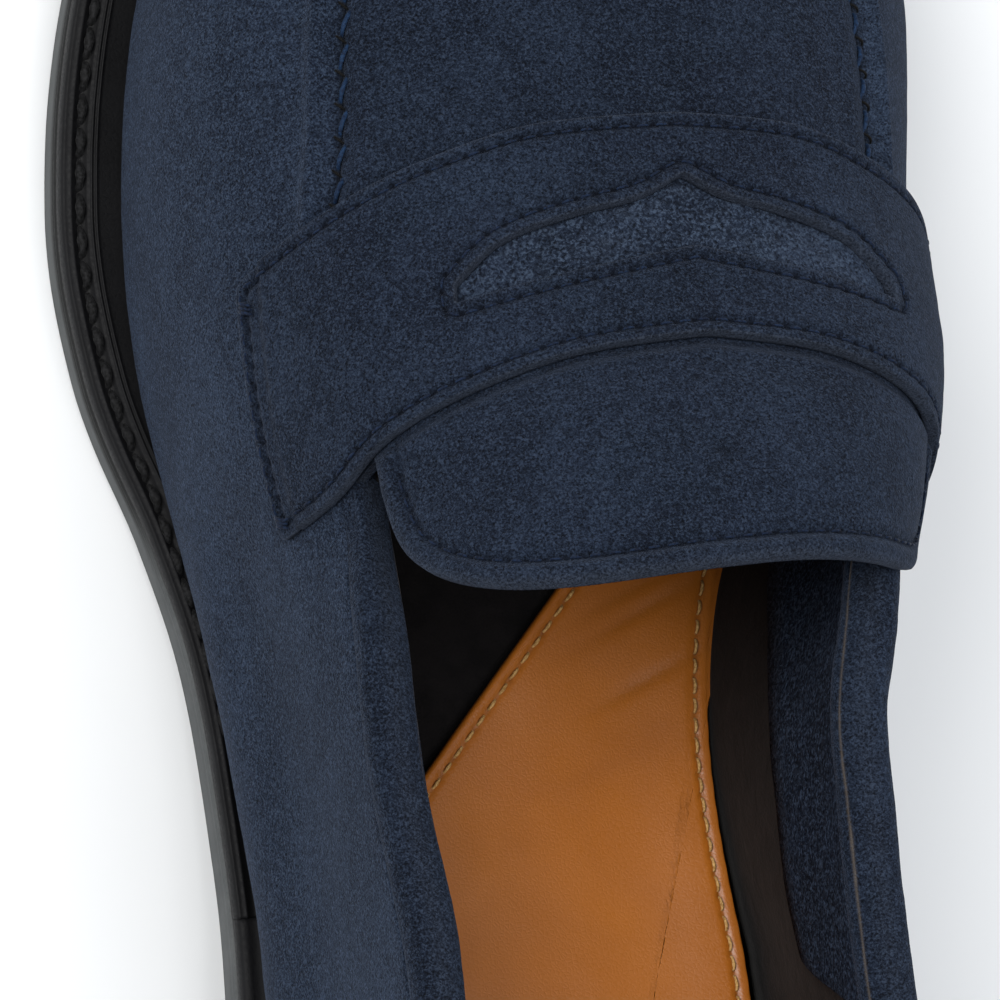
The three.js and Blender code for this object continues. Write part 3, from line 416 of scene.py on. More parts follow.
def rough(points, sizes, seed):
    """Sum of noises; sizes holds pairs of feature size and height."""
    return sum(h * value_noise(points, s, seed + i) for i, (s, h) in enumerate(sizes))


def build(name, points, faces, marks=None):
    """A mesh object from points in millimetres; marks are values kept for its material."""
    points = np.asarray(points, float).reshape(-1, 3)
    mesh = bpy.data.meshes.new(name)
    mesh.from_pydata(((points + ORIGIN) * MM).tolist(), [], faces)
    for key, values in (marks or {}).items():
        attribute = mesh.attributes.new(key, "FLOAT", "POINT")
        attribute.data.foreach_set("value", np.asarray(values, np.float32).ravel())
    obj = bpy.data.objects.new(name, mesh)
    bpy.context.scene.collection.objects.link(obj)
    weld(obj)
    mesh.polygons.foreach_set("use_smooth", np.ones(len(mesh.polygons), bool))
    return obj


def weld(obj):
    """Joins points that coincide and turns the faces outwards."""
    work = bmesh.new()
    work.from_mesh(obj.data)
    bmesh.ops.remove_doubles(work, verts=work.verts, dist=2e-6)
    bmesh.ops.dissolve_degenerate(work, edges=work.edges, dist=1e-7)
    bmesh.ops.recalc_face_normals(work, faces=work.faces)
    work.to_mesh(obj.data)
    work.free()


def loft(rings, closed=False):
    """Faces of closed rings (stations, points) joined in order, with flat ends unless closed."""
    stations, sides = rings.shape[:2]
    here = np.arange(stations * sides).reshape(stations, sides)
    side = np.roll(here, -1, 1)
    ahead = np.roll(here, -1, 0)
    ahead_side = np.roll(side, -1, 0)
    quads = np.stack([here, side, ahead_side, ahead], -1)
    quads = quads if closed else quads[:-1]
    faces = quads.reshape(-1, 4).tolist()
    if not closed:
        faces += [here[0][::-1].tolist(), here[-1].tolist()]
    return faces


def section_ring(outer, inner, corner, fine, middle, reach=3.4, under=8):
    """Cross-section of a strip of leather, as points (share of the width, millimetres, offset, edge).

    The place across the strip is share * width + millimetres. The outside runs from one cut edge
    to the other with fine rows near both, the edges are rounded, and the inside comes back.
    """
    near = np.arange(corner, reach, fine)
    lines = [(0.0, x, outer, 0.0) for x in near]
    lines += [(t, reach * (1 - 2 * t), outer, 0.0) for t in np.linspace(0, 1, middle)]
    lines += [(1.0, -x, outer, 0.0) for x in near[::-1]]
    turn = np.linspace(0, math.pi / 2, 5)[1:]
    arc = [(-corner + corner * math.sin(a), outer - corner * (1 - math.cos(a))) for a in turn]
    lines += [(1.0, x, z, 1.0) for x, z in arc]
    lines += [(1.0, 0.0, inner + (outer - corner - inner) * t, 1.0) for t in (0.66, 0.33, 0.0)]
    lines += [(t, 0.0, inner, 0.5) for t in np.linspace(1, 0, under)[1:-1]]
    lines += [(0.0, 0.0, inner + (outer - corner - inner) * t, 1.0) for t in (0.0, 0.33, 0.66)]
    lines += [(0.0, -x, z, 1.0) for x, z in arc[::-1]]
    return np.array(lines).T


class Stitching:
    """Places of the needle holes along a row of stitches, by station."""

    def __init__(self, path, pitch):
        run = np.linalg.norm(np.diff(path, axis=0), axis=1)
        self.run = np.concatenate([[0], np.cumsum(run)])
        self.path = path
        self.count = max(int(round(self.run[-1] / pitch)), 1)
        self.pitch = self.run[-1] / self.count

    def off_hole(self):
        """Distance along the row from each station to its nearest hole."""
        phase = self.run / self.pitch
        return np.abs(phase - np.round(phase)) * self.pitch

    def at(self, run, table=None):
        table = self.path if table is None else table
        return np.stack([np.interp(run, self.run, table[:, k]) for k in range(3)], -1)


def stitches(name, rows, radius, rise, slot, *nodes, body="shoe", ply=0.1):
    """Single stitches that rise out of one needle hole and go down the next.

    rows holds (Stitching, upward directions at its stations, share of the pitch that shows).
    """
    points, faces = [], []
    steps, sides = 12, 9
    start = 0
    rng = np.random.RandomState(len(name))
    for row, up_table, shown in rows:
        for k in range(row.count):
            slack = rng.uniform(0.94, 1.06)
            t = np.linspace(0, 1, steps + 1)
            span = row.pitch * shown * slack
            run = row.run[-1] * (k + 0.5) / row.count + (t - 0.5) * span
            centre = row.at(np.clip(run, 0, row.run[-1]))
            up = unit(row.at(np.clip(run, 0, row.run[-1]), up_table))
            lift = rise * (np.sin(math.pi * t) ** 0.55) - radius * 1.6 * (1 - np.sin(math.pi * t) ** 0.5)
            centre = centre + up * (lift * rng.uniform(0.9, 1.1))[:, None]
            along = unit(np.gradient(centre, axis=0))
            side = unit(np.cross(along, up))
            above = np.cross(side, along)
            turn = np.linspace(0, 2 * math.pi, sides, endpoint=False)
            twist = 1 + ply * np.cos(2 * (turn[None] + t[:, None] * span * 2.2 / radius * 0.35))
            fat = radius * twist * (0.75 + 0.25 * np.sin(math.pi * t)[:, None])
            ring = (
                centre[:, None]
                + side[:, None] * (np.cos(turn)[None] * fat)[..., None]
                + above[:, None] * (np.sin(turn)[None] * fat)[..., None]
            )
            points.append(ring.reshape(-1, 3))
            faces += [[v + start for v in f] for f in loft(ring)]
            start += ring.shape[0] * ring.shape[1]
    finish_piece(build(name, np.vstack(points), faces), body, slot, *nodes)


def single(path, up):
    """A row of one stitch, as long as its path."""
    return Stitching(path, 9.0), up, 1.0


def finish_piece(obj, body, slot, *nodes):
    """Puts a piece on its body, with its slot, its material and the CAD nodes it stands for."""
    obj.data.materials.append(MATERIALS[slot])
    if body == "tongue":
        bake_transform(obj)
    else:
        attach(obj, body)
    if nodes:
        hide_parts(*nodes)


flex_middle = on_top(STRAP_REAR(0.0), 0.0)
flex_side = on_top(STRAP_REAR(TONGUE_SIDE), TONGUE_SIDE)


# ---------------------------------------------------------------- materials
class Look:
    """A procedural material, worked in the shoe's own frame."""

    def __init__(self, name, roughness, **sockets):
        self.material = bpy.data.materials.new(name)
        self.material.use_nodes = True
        self.tree = self.material.node_tree
        self.shader = next(n for n in self.tree.nodes if n.type == "BSDF_PRINCIPLED")
        self.shader.inputs["Roughness"].default_value = roughness
        for key, value in sockets.items():
            self.shader.inputs[key.replace("_", " ")].default_value = value
        self.place = self.tree.nodes.new("ShaderNodeTexCoord").outputs["Object"]

    def add(self, kind, inputs, output=0, **settings):
        node = self.tree.nodes.new(kind)
        for key, value in settings.items():
            setattr(node, key, value)
        for key, value in inputs.items():
            self.feed(node.inputs[key], value)
        return node.outputs[output]

    def feed(self, socket, value):
        if isinstance(value, bpy.types.NodeSocket):
            self.tree.links.new(value, socket)
        else:
            socket.default_value = value

    def noise(self, size, detail, distortion=0.0, stretch=None):
        """Noise with features of the given size in millimetres."""
        place = self.place
        if stretch:
            place = self.add("ShaderNodeMapping", {"Vector": place, "Scale": stretch})
        inputs = {"Vector": place, "Scale": 1 / (size * MM), "Detail": detail, "Distortion": distortion}
        return self.add("ShaderNodeTexNoise", inputs)

    def cells(self, size):
        """Distance to the edges of cells of the given size in millimetres."""
        inputs = {"Vector": self.place, "Scale": 1 / (size * MM)}
        return self.add("ShaderNodeTexVoronoi", inputs, feature="DISTANCE_TO_EDGE")

    def spread(self, value, low, high, to_low=0.0, to_high=1.0):
        inputs = {0: value, 1: low, 2: high, 3: to_low, 4: to_high}
        return self.add("ShaderNodeMapRange", inputs)

    def math(self, operation, a, b=0.0):
        return self.add("ShaderNodeMath", {0: a, 1: b}, operation=operation)

    def blend(self, share, a, b):
        return self.add("ShaderNodeMix", {0: share, 6: a, 7: b}, output=2, data_type="RGBA")

    def mark(self, name):
        return self.add("ShaderNodeAttribute", {}, output=2, attribute_name=name)

    def bump(self, height, depth, strength, under=None):
        inputs = {"Height": height, "Distance": depth * MM, "Strength": strength}
        if under is not None:
            inputs["Normal"] = under
        return self.add("ShaderNodeBump", inputs)

    def dye(self, tone, mark, strength, colour):
        """Lays a colour over the tone where the named mark is set."""
        return self.blend(self.math("MULTIPLY", self.mark(mark), strength), tone, rgb(*colour))

    def weigh(self, a, weight_a, b, weight_b):
        """Weighted sum of two values."""
        return self.math("ADD", self.math("MULTIPLY", a, weight_a), self.math("MULTIPLY", b, weight_b))

    def colour(self, value):
        self.feed(self.shader.inputs["Base Color"], value)

    def rough(self, value):
        self.feed(self.shader.inputs["Roughness"], value)

    def relief(self, value):
        self.feed(self.shader.inputs["Normal"], value)


def rgb(r, g, b):
    return (r, g, b, 1.0)


def scaled(colour, factor):
    return [c * factor for c in colour]


def suede(name, dark, light, edge, fluff_and_glint=1.0, size=1.0, sheen=0.08):
    """Brushed suede: a mottled nap, fine fibres with painted glints, paler cut edges, and painted shade in
    needle holes, grooves, seams and creases.
    """
    look = Look(name, 0.95, Specular_IOR_Level=sheen, Sheen_Weight=sheen, Sheen_Roughness=0.4)
    look.shader.inputs["Sheen Tint"].default_value = rgb(0.5, 0.62, 0.9)
    mottle = look.noise(26, 4, 0.8)
    brushed = look.noise(8, 4, 0.5, stretch=(1.0, 0.4, 1.0))
    nap = look.noise(1.3 * size, 4, 0.4)
    fibre = look.noise(0.42 * size, 3, 0.9)
    speck = look.noise(0.27 * size, 2, 0.6)
    tone = look.blend(look.spread(look.weigh(mottle, 0.5, brushed, 0.5), 0.38, 0.62), rgb(*dark), rgb(*light))
    grain = look.weigh(fibre, 0.4, speck, 0.6)
    tone = look.blend(look.spread(grain, 0.37, 0.5, 0.85, 0.0), tone, rgb(*scaled(dark, 0.08)))
    # Painted glints: pale specks on the fibres.
    tone = look.blend(look.spread(grain, 0.5, 0.62, 0.0, 0.62 * fluff_and_glint), tone, rgb(*edge))
    tone = look.blend(look.spread(nap, 0.36, 0.5, 0.35, 0.0), tone, rgb(*scaled(dark, 0.35)))
    tone = look.dye(tone, "edge", look.spread(speck, 0.35, 0.65, 0.1, 0.6), [0.5 * (c + 0.05) for c in edge])
    tone = look.blend(look.mark("rawhide"), tone, rgb(0.16, 0.13, 0.10))
    # Painted shade: darkens the needle holes, stitch grooves, seams and creases that the pieces mark.
    look.colour(look.dye(tone, "sunk", 0.9, (0.0012, 0.0018, 0.004)))
    relief = look.bump(fibre, 0.3 * fluff_and_glint, 1.0)
    relief = look.bump(nap, 0.3 * fluff_and_glint, 0.5, relief)
    look.relief(look.bump(speck, 0.2, 1.0, relief))
    return look.material


def leather(name, dark, light, roughness, grain, coat, shine, depth=0.02):
    """Grained leather: cells for the grain, clouds in the dye, and painted shade in the channels and grooves
    that the pieces mark.
    """
    look = Look(name, roughness, Coat_Weight=coat, Coat_Roughness=0.3, Specular_IOR_Level=shine)
    cloud = look.noise(18, 4, 0.5)
    pores = look.cells(grain)
    fine = look.noise(grain * 0.6, 4)
    tone = look.blend(look.spread(look.weigh(cloud, 1.0, fine, 0.4), 0.45, 0.95), rgb(*dark), rgb(*light))
    tone = look.dye(tone, "edge", 0.6, scaled(dark, 0.45))
    # Painted shade in the welt's channel, between its ridges, and in the rand's groove.
    look.colour(look.dye(tone, "sunk", 0.75, scaled(dark, 0.16)))
    look.rough(look.spread(fine, 0.3, 0.7, roughness - 0.08, roughness + 0.12))
    relief = look.bump(look.spread(pores, 0.0, 0.25), depth, 0.5)
    look.relief(look.bump(fine, depth * 0.7, 0.5, relief))
    return look.material


def textile(name, dark, light, pitch):
    """Fine woven lining: close threads with slubs and cloudy wear."""
    look = Look(name, 0.85, Specular_IOR_Level=0.1, Sheen_Weight=0.03, Sheen_Roughness=0.5)
    weave = look.noise(pitch, 3, 0.2, stretch=(1.0, 1.0, 0.5))
    slub = look.noise(3, 4, 0.5)
    share = look.spread(look.weigh(weave, 0.5, slub, 0.5), 0.35, 0.65)
    look.colour(look.blend(share, rgb(*dark), rgb(*light)))
    look.relief(look.bump(slub, 0.3, 0.5, look.bump(weave, 0.1, 0.6)))
    return look.material


def fibrous(name, dark, light, size, depth, roughness, metallic=0.0, stretch=None):
    """Cork, board, foam, stacked heel, rubber and plain metal: speckle over a cloudy base."""
    look = Look(name, roughness, Metallic=metallic, Specular_IOR_Level=0.35)
    speck = look.noise(size, 5, 0.3, stretch)
    cloud = look.noise(size * 9, 3, 0.4)
    tone = look.blend(look.spread(look.weigh(speck, 0.6, cloud, 0.4), 0.35, 0.65), rgb(*dark), rgb(*light))
    tone = look.dye(tone, "edge", 0.5, light)
    look.colour(look.dye(tone, "sunk", 0.96, scaled(dark, 0.06)))
    look.rough(look.spread(speck, 0.3, 0.7, roughness - 0.08, min(roughness + 0.1, 1.0)))
    look.relief(look.bump(speck, depth, 0.6))
    return look.material


def yarn(name, dark, light):
    """Twisted sewing thread: fine fibres along a matt strand."""
    look = Look(name, 0.7, Specular_IOR_Level=0.15, Sheen_Weight=0.04, Sheen_Roughness=0.4)
    ply = look.noise(0.35, 3, 0.5)
    look.colour(look.blend(look.spread(ply, 0.35, 0.65), rgb(*dark), rgb(*light)))
    look.relief(look.bump(ply, 0.12, 0.7))
    return look.material


# Each look with its colours, dark then light, and what its function takes after them.
MATERIALS = {name: make(name, *values) for make, name, *values in (
    (suede, "suede_navy", (0.0075, 0.0118, 0.023), (0.0165, 0.0255, 0.046), (0.042, 0.062, 0.1)),
    # A darker copy of the navy suede for the apron, strap, tongue and collar binding: painted shade on the
    # parts that face up.
    (suede, "suede_upper", (0.0054, 0.0085, 0.0168), (0.0119, 0.0184, 0.0338), (0.032, 0.047, 0.078)),
    # A lighter copy of the navy suede for the backing seen through the strap's window: painted light against
    # the shade in the window.
    (suede, "suede_backing", (0.009, 0.014, 0.027), (0.019, 0.029, 0.052), (0.045, 0.066, 0.105), 1.4, 1.4),
    # A darker copy of the navy suede for the collar facings: painted shade inside the collar.
    (suede, "suede_inside", (0.0018, 0.003, 0.0075), (0.0055, 0.0095, 0.021), (0.034, 0.052, 0.09), 1.5, 1.7,
     0.015),
    (leather, "leather_black", (0.002, 0.002, 0.0025), (0.006, 0.006, 0.007), 0.6, 0.7, 0.0, 0.16),
    (leather, "leather_tan", (0.33, 0.098, 0.009), (0.41, 0.126, 0.0115), 0.36, 0.55, 0.1, 0.45),
    (textile, "textile_black", (0.0026, 0.0022, 0.0024), (0.008, 0.0066, 0.0069), 0.3),
    (fibrous, "sole_grey", (0.05, 0.054, 0.055), (0.082, 0.087, 0.088), 0.5, 0.04, 0.7),
    (fibrous, "heel_stack", (0.012, 0.010, 0.009), (0.03, 0.026, 0.024), 0.6, 0.05, 0.6, 0.0, (1, 1, 6)),
    (fibrous, "cork", (0.25, 0.13, 0.05), (0.5, 0.3, 0.14), 1.2, 0.15, 0.9),
    (fibrous, "steel", (0.45, 0.46, 0.48), (0.62, 0.63, 0.65), 0.4, 0.01, 0.4, 1.0),
    (fibrous, "brass", (0.5, 0.36, 0.13), (0.68, 0.5, 0.2), 0.4, 0.01, 0.4, 1.0),
    (fibrous, "board", (0.2, 0.14, 0.08), (0.36, 0.27, 0.17), 0.7, 0.08, 0.9),
    (fibrous, "foam", (0.5, 0.45, 0.34), (0.66, 0.6, 0.48), 0.3, 0.1, 0.95),
    (yarn, "thread_black", (0.001, 0.001, 0.001), (0.012, 0.012, 0.013)),
    # Black for the strands across the apron's needle holes: painted shade in the holes.
    (yarn, "needle_hole", (0.0, 0.0, 0.0), (0.0008, 0.0008, 0.001)),
    (yarn, "thread_blue", (0.002, 0.007, 0.022), (0.008, 0.026, 0.066)),
    (yarn, "thread_navy", (0.001, 0.003, 0.010), (0.005, 0.014, 0.038)),
    (yarn, "thread_cream", (0.32, 0.17, 0.05), (0.62, 0.38, 0.15)),
)}
KEPT_NODES = {
    "board": ["insole", "insole_rib", "heel_counter", "toe_puff"],
    "cork": ["cork_filler"],
    "steel": ["shank"] + [f"top_piece_tack_{k}" for k in range(1, 6)],
    "brass": [f"heel_nail_{k}" for k in range(1, 6)],
    "foam": ["sock_foam"],
}
for slot, nodes in KEPT_NODES.items():
    for node in nodes:
        slots = frame["nodes"][node].data.materials
        slots.clear()
        slots.append(MATERIALS[slot])


# ---------------------------------------------------------------- shapes worn by the leather pieces
def bell(distance, width):
    return np.exp(-((distance / width) ** 2))


def ease(value, low, high):
    """0 below low, 1 above high, smooth between."""
    t = np.clip((value - low) / (high - low), 0, 1)
    return t * t * (3 - 2 * t)


def to_border(points, border):
    """Distance of each point to the nearest border point, and that point's index."""
    tree = kdtree.KDTree(len(border))
    for k, p in enumerate(border):
        tree.insert(p, k)
    tree.balance()
    flat = points.reshape(-1, 3)
    found = [tree.find(p) for p in flat.tolist()]
    distance = np.array([f[2] for f in found]).reshape(points.shape[:-1])
    return distance, np.array([f[1] for f in found]).reshape(points.shape[:-1])


def edge_path(surface, loop, level, inset):
    """A row parallel to the border of a leather piece: its points and upward normals."""
    here = surface(loop, level)
    up = unit(surface(loop, level + 1.0) - here)
    inward = unit(np.cross(up, np.roll(here, -1, 0) - np.roll(here, 1, 0)))
    middle = here.mean(0)
    if ((middle - here) * inward).sum() < 0:
        inward = -inward
    return here + inward * inset, up


def smooth_loop(loop, half, rounds=2):
    """A closed loop with its corners rounded by averaging over 2 * half + 1 of its points."""
    kernel = np.ones(2 * half + 1) / (2 * half + 1)
    for _ in range(rounds):
        padded = np.vstack([loop[-half:], loop, loop[:half]])
        loop = np.stack([np.convolve(padded[:, c], kernel, "valid") for c in range(loop.shape[1])], 1)
    return loop


def closed_path(path, up):
    return np.vstack([path, path[:1]]), np.vstack([up, up[:1]])


# ---------------------------------------------------------------- side wall
WALL_FOOT = 0.3
APRON_RIDGE_START = 193.0
ROLL = 2.0
ROLL_WAIST = 1.7


def wall():
    """The suede side wall, one closed strip round the last with the apron seam worked into its edge."""
    stations = 1150
    u = np.arange(stations) / stations
    share, x, offset, edge = section_ring(0.0, -SUEDE, 0.4, 0.42, 46, reach=5.2, under=14)
    width = (around(EDGE_AT, u) - WALL_FOOT)[:, None]
    place_up = share * width + x
    g = WALL_FOOT + place_up
    l = around(L_AT, u)[:, None]
    down = width - place_up
    outside = (offset > -1.0) * 1.0
    flat = on_last(u[:, None], g, 0.0)
    front = ease(l, APRON_RIDGE_START, APRON_RIDGE_START + 9)
    behind = 1 - ease(l, THROAT - 12, THROAT - 4)
    seam = front * (1.25 * bell(down - 3.4, 1.15) - 0.6 * bell(down, 1.2))
    groove = behind * (-0.55 * bell(down - 0.9, 0.55))
    foot = -0.5 * bell(place_up, 1.6)
    roll = (u < TOE)[:, None] * ease(l, 25, 60) * (1 - ease(l, 146, 178))
    foot = foot + (ROLL + ROLL_WAIST * ease(l, 84, 112)) * roll * bell(place_up - 10, 9)
    swell = rough(flat, [(34, 0.34), (14, 0.16), (5, 0.05), (1.6, 0.03)], 3)
    calm = 1 - 0.75 * bell(down, 3) * front
    lift = offset + outside * (seam + groove + foot + swell * calm)
    points = on_last(u[:, None], g, lift)
    # Painted shade in the groove under the top line and along the apron seam.
    marks = {
        "edge": np.broadcast_to(edge, lift.shape) * 0.6 + 0 * lift,
        "sunk": outside * (behind * 0.75 * bell(down - 0.9, 0.35) + front * 0.8 * bell(down, 0.55)),
    }
    obj = build("upper_wall_suede", points, loft(points, closed=True), marks)
    finish_piece(obj, "shoe", "suede_navy", "upper_wall")


def arch_stand(l, g):
    """The medial lining stands inwards at the waist, down to the narrower edge of the sock."""
    return SOCK_WAIST(l) * 1.35 * (1 - ease(g, 9, 38))


def wall_strip(name, start, end, stations, low, out, slot, node, waves, medial=False):
    """A strip 1 mm thick on the inside of the wall, from a share of its height given by place, up."""
    u = np.linspace(start, end, stations) % 1
    share, x, offset, edge = section_ring(0.5, -0.5, 0.25, 0.5, 24, reach=2.0)
    upper = around(EDGE_AT, u)[:, None]
    lower = WALL_FOOT + (upper - WALL_FOOT) * low(around(L_AT, u))[:, None]
    g = lower + share * (upper - lower) + x
    flat = on_last(u[:, None], g, 0.0)
    lift = out - 0.5 + offset + rough(flat, waves, 11)
    if medial:
        lift = lift - arch_stand(around(L_AT, u)[:, None], g)
    points = on_last(u[:, None], g, lift)
    obj = build(name, points, loft(points), {"edge": np.broadcast_to(edge, lift.shape)})
    finish_piece(obj, "shoe", slot, node)


wall()
LINING_WAVES = ((11, 0.16), (4, 0.07))
BACK_SEAM = 0.0008  # half the gap of the linings at the back seam, as a share of the outline

throat_at = {side: place(float(THROAT), side) for side in ("lateral", "medial")}
for piece, start, end, stations, medial in (
    ("quarter_lining_lateral", BACK_SEAM, throat_at["lateral"] - BACK_SEAM, 260, False),
    ("quarter_lining_medial", throat_at["medial"] + BACK_SEAM, 1 - BACK_SEAM, 260, True),
    ("vamp_lining", throat_at["lateral"], throat_at["medial"], 300, False),
):
    wall_strip(f"{piece}_cloth", start, end, stations, lambda l: 0 * l, LINING_OUT, "textile_black", piece,
               LINING_WAVES, medial)

FACING_BACK = 104.0
FACING_FRONT = 158.0
FACING_LOW = {
    "lateral": curve((104, 0.93), (111, 0.585), (158, 0.585)),
    "medial": curve((104, 0.93), (111, 0.63), (130, 0.58), (158, 0.37)),
}


def facing(side, start, end):
    """Suede facing inside the collar, with its slanting lower edge left raw."""
    wall_strip(f"collar_facing_{side}_suede", place(start, side), place(end, side), 160, FACING_LOW[side],
               FACING_OUT, "suede_inside", f"collar_facing_{side}", ((9, 0.14), (3, 0.06), (1.2, 0.03)),
               side == "medial")


facing("lateral", FACING_BACK, FACING_FRONT)
facing("medial", FACING_FRONT, FACING_BACK)

# ---------------------------------------------------------------- collar
BINDING_FRONT = 175.0
BINDING_TUCK = 151.0


def binding():
    """The collar roll: outer suede turned over the edge and trimmed on the inside in a thin raw line."""
    knots = np.array([
        (-0.9, 0.02), (-0.75, 0.34), (-0.2, 0.62), (0.8, 0.72), (1.8, 0.5), (2.6, -0.1), (3.1, -1.1),
        (3.25, -2.3), (3.2, -3.5), (2.95, -4.4), (2.6, -4.95), (2.3, -5.05), (2.2, -4.9), (1.9, -5.35),
        (1.2, -5.75), (0.3, -5.95), (-0.4, -5.9), (-0.7, -5.6), (-0.7, -4.6), (-0.8, -2.2),
    ])
    t = np.linspace(0, len(knots), 72, endpoint=False)
    k = t.astype(int)
    w = (t - k)[:, None]
    p0, p1, p2, p3 = (knots[(k + d) % len(knots)] for d in (-1, 0, 1, 2))
    bend = 0.5 * (2 * p1 + (p2 - p0) * w + (2 * p0 - 5 * p1 + 4 * p2 - p3) * w**2
                  + (3 * (p1 - p2) + p3 - p0) * w**3)
    rise, depth = bend.T
    u = np.linspace(place(BINDING_FRONT, "medial") - 1, place(BINDING_FRONT, "lateral"), 900)
    top = around(EDGE_AT, u)[:, None]
    tucked = ease(around(L_AT, u), BINDING_TUCK, BINDING_TUCK + 12)[:, None]
    depth = np.minimum(depth, depth * (1 - tucked) + np.minimum(depth, 0.1) * tucked)
    rise = rise * (1 - 0.25 * tucked)
    flat = on_last(u[:, None], top + 0 * rise, 0.0)
    shape = rough(flat + np.stack([rise * 3, depth * 3, rise], -1), [(13, 0.22), (4, 0.09), (1.4, 0.035)], 21)
    points = on_last(u[:, None], top + rise + shape * 0.4, depth + shape * np.where(depth > -3, 1, -1))
    raw = bell(rise - 2.3, 0.22) * bell(depth + 5.0, 0.22)
    # Painted shade along the stitch line below the collar roll.
    marks = {
        "rawhide": np.broadcast_to(raw, points.shape[:2]),
        "edge": np.broadcast_to(0.35 * bell(depth + 2.2, 1.6) * (rise > 2), points.shape[:2]),
        "sunk": np.broadcast_to(0.7 * bell(rise + 0.8, 0.3) * (depth > -2), points.shape[:2]),
    }
    obj = build("collar_binding_suede", points, loft(points), marks)
    finish_piece(obj, "shoe", "suede_upper", "collar_binding")
    stitched = u[around(L_AT, u) < BINDING_TUCK + 4]
    g = around(EDGE_AT, stitched) - 0.9
    path = on_last(stitched, g, np.where(np.abs(stitched) < 0.014, 1.55, 0.02))
    up = on_last(stitched, g, 1.0) - on_last(stitched, g, 0.0)
    stitches("collar_stitches", [(Stitching(path, 2.6), up, 0.6)], 0.17, 0.0, "thread_navy", "collar_thread")


def back_strip():
    """Narrow strip over the back seam."""
    half = 0.0125
    outline_length = 780.0
    share, x, offset, edge = section_ring(1.5, 0.3, 0.35, 0.4, 20, reach=2.4)
    span = 2 * half * outline_length
    place_across = share * span + x
    across = -half + place_across / span * 2 * half
    top = around(EDGE_AT, across)[None, :] - 1.0
    g = WALL_FOOT + (top - WALL_FOOT) * np.linspace(0, 1, 150)[:, None]
    flat = on_last(across[None, :], g, 0.0)
    line = np.minimum(np.abs(place_across - 1.5), np.abs(span - place_across - 1.5))
    lift = offset - 0.25 * bell(line, 0.5) * (offset > 1.0) + rough(flat, [(12, 0.12), (3, 0.05)], 31)
    points = on_last(across[None, :], g, lift)
    # Painted shade along both stitch lines.
    marks = {"edge": np.broadcast_to(edge, g.shape), "sunk": np.broadcast_to(0.6 * bell(line, 0.3), g.shape)}
    obj = build("back_strip_suede", points, loft(points), marks)
    finish_piece(obj, "shoe", "suede_navy", "back_strip")


binding()
back_strip()


# ---------------------------------------------------------------- flat leather pieces
def plate(name, surface, loop, centre, rings, out, inner, corner, shape, slot, node, body="shoe"):
    """A leather piece of any outline: rings of its border loop about the centre, rounded at the edge.

    surface(ab, offset) gives points for places ab; shape(points, distance, index) gives the extra
    height of the top and the marks for the material, from the distance to the nearest border point.
    """
    side = 2 * rings + 1
    a, b = np.meshgrid(np.arange(-rings, rings + 1), np.arange(-rings, rings + 1), indexing="ij")
    r = np.maximum(np.abs(a), np.abs(b))
    turn = np.where(b == -r, a + r, np.where(a == r, 3 * r + b, np.where(b == r, 5 * r - a, 7 * r - b)))
    turn = np.where((a == -r) & (b != -r) & (b != r), 7 * r - b, turn)
    t = np.where(r > 0, turn / np.maximum(8 * r, 1), 0) % 1
    count = len(loop)
    closed = np.vstack([loop, loop[:1]])
    border = np.stack([np.interp(t * count, np.arange(count + 1), closed[:, c]) for c in (0, 1)], -1)
    share = r / rings
    share = share * (1 + 0.45 * (1 - share))
    middle = np.array(centre, float)
    ab = middle + share[..., None] * (border - middle)
    flat = surface(ab, 0.0)
    distance, index = to_border(flat, surface(loop, 0.0))
    distance = np.where(r == rings, 0, distance)
    extra, marks = shape(flat, distance, index)
    near = np.clip(distance, 0, corner)
    fall = corner - np.sqrt(np.maximum(corner**2 - (corner - near) ** 2, 0))
    rim_level = out + extra - fall
    top = surface(ab, rim_level)
    bottom = surface(ab, inner + 0 * extra)
    levels = [surface(ab, rim_level * (1 - k) + inner * k) for k in (0.35, 0.7)]
    grid = np.arange(side * side).reshape(side, side)
    quads = np.stack([grid[:-1, :-1], grid[1:, :-1], grid[1:, 1:], grid[:-1, 1:]], -1).reshape(-1, 4)
    ring = np.concatenate([grid[:, 0], grid[-1, 1:], grid[-2::-1, -1], grid[0, -2:0:-1]])
    faces = quads.tolist() + (quads[:, ::-1] + side * side).tolist()
    points = [top.reshape(-1, 3), bottom.reshape(-1, 3)]
    start = 2 * side * side
    rows = [ring]
    for level in levels:
        points.append(level.reshape(-1, 3)[ring])
        rows.append(start + np.arange(len(ring)))
        start += len(ring)
    rows.append(ring + side * side)
    for upper, lower in zip(rows[:-1], rows[1:]):
        faces += np.stack([upper, np.roll(upper, -1), np.roll(lower, -1), lower], 1).tolist()
    values = {}
    for key, value in marks.items():
        value = np.broadcast_to(value, top.shape[:2]).ravel()
        values[key] = np.concatenate([value, value * 0] + [value[ring]] * len(levels))
    cut = np.concatenate([
        (0.8 * bell(distance, corner)).ravel(), np.zeros(side * side), np.ones(len(ring) * len(levels))
    ])
    values["edge"] = np.maximum(values.get("edge", 0), cut)
    obj = build(name, np.vstack(points), faces, values)
    finish_piece(obj, body, slot, node)


def uneven(waves, seed):
    """Shape of a plain piece for plate(): its top waved, with no marks."""
    return lambda points, distance, index: (rough(points, waves, seed), {})


def top_surface(ab, offset):
    return on_top(ab[..., 0], ab[..., 1], offset)


def arc_loop(corners, counts):
    """Closed loop of points through straight or curved sides; each side is a function of 0..1."""
    return np.vstack([side(np.linspace(0, 1, n, endpoint=False)) for side, n in zip(corners, counts)])


# ---------------------------------------------------------------- apron
APRON_INSET = 0.05
APRON_PITCH = 4.2


def seam_plan(u):
    return on_last(u, around(EDGE_AT, u) + APRON_INSET, 0.0)[..., :2]


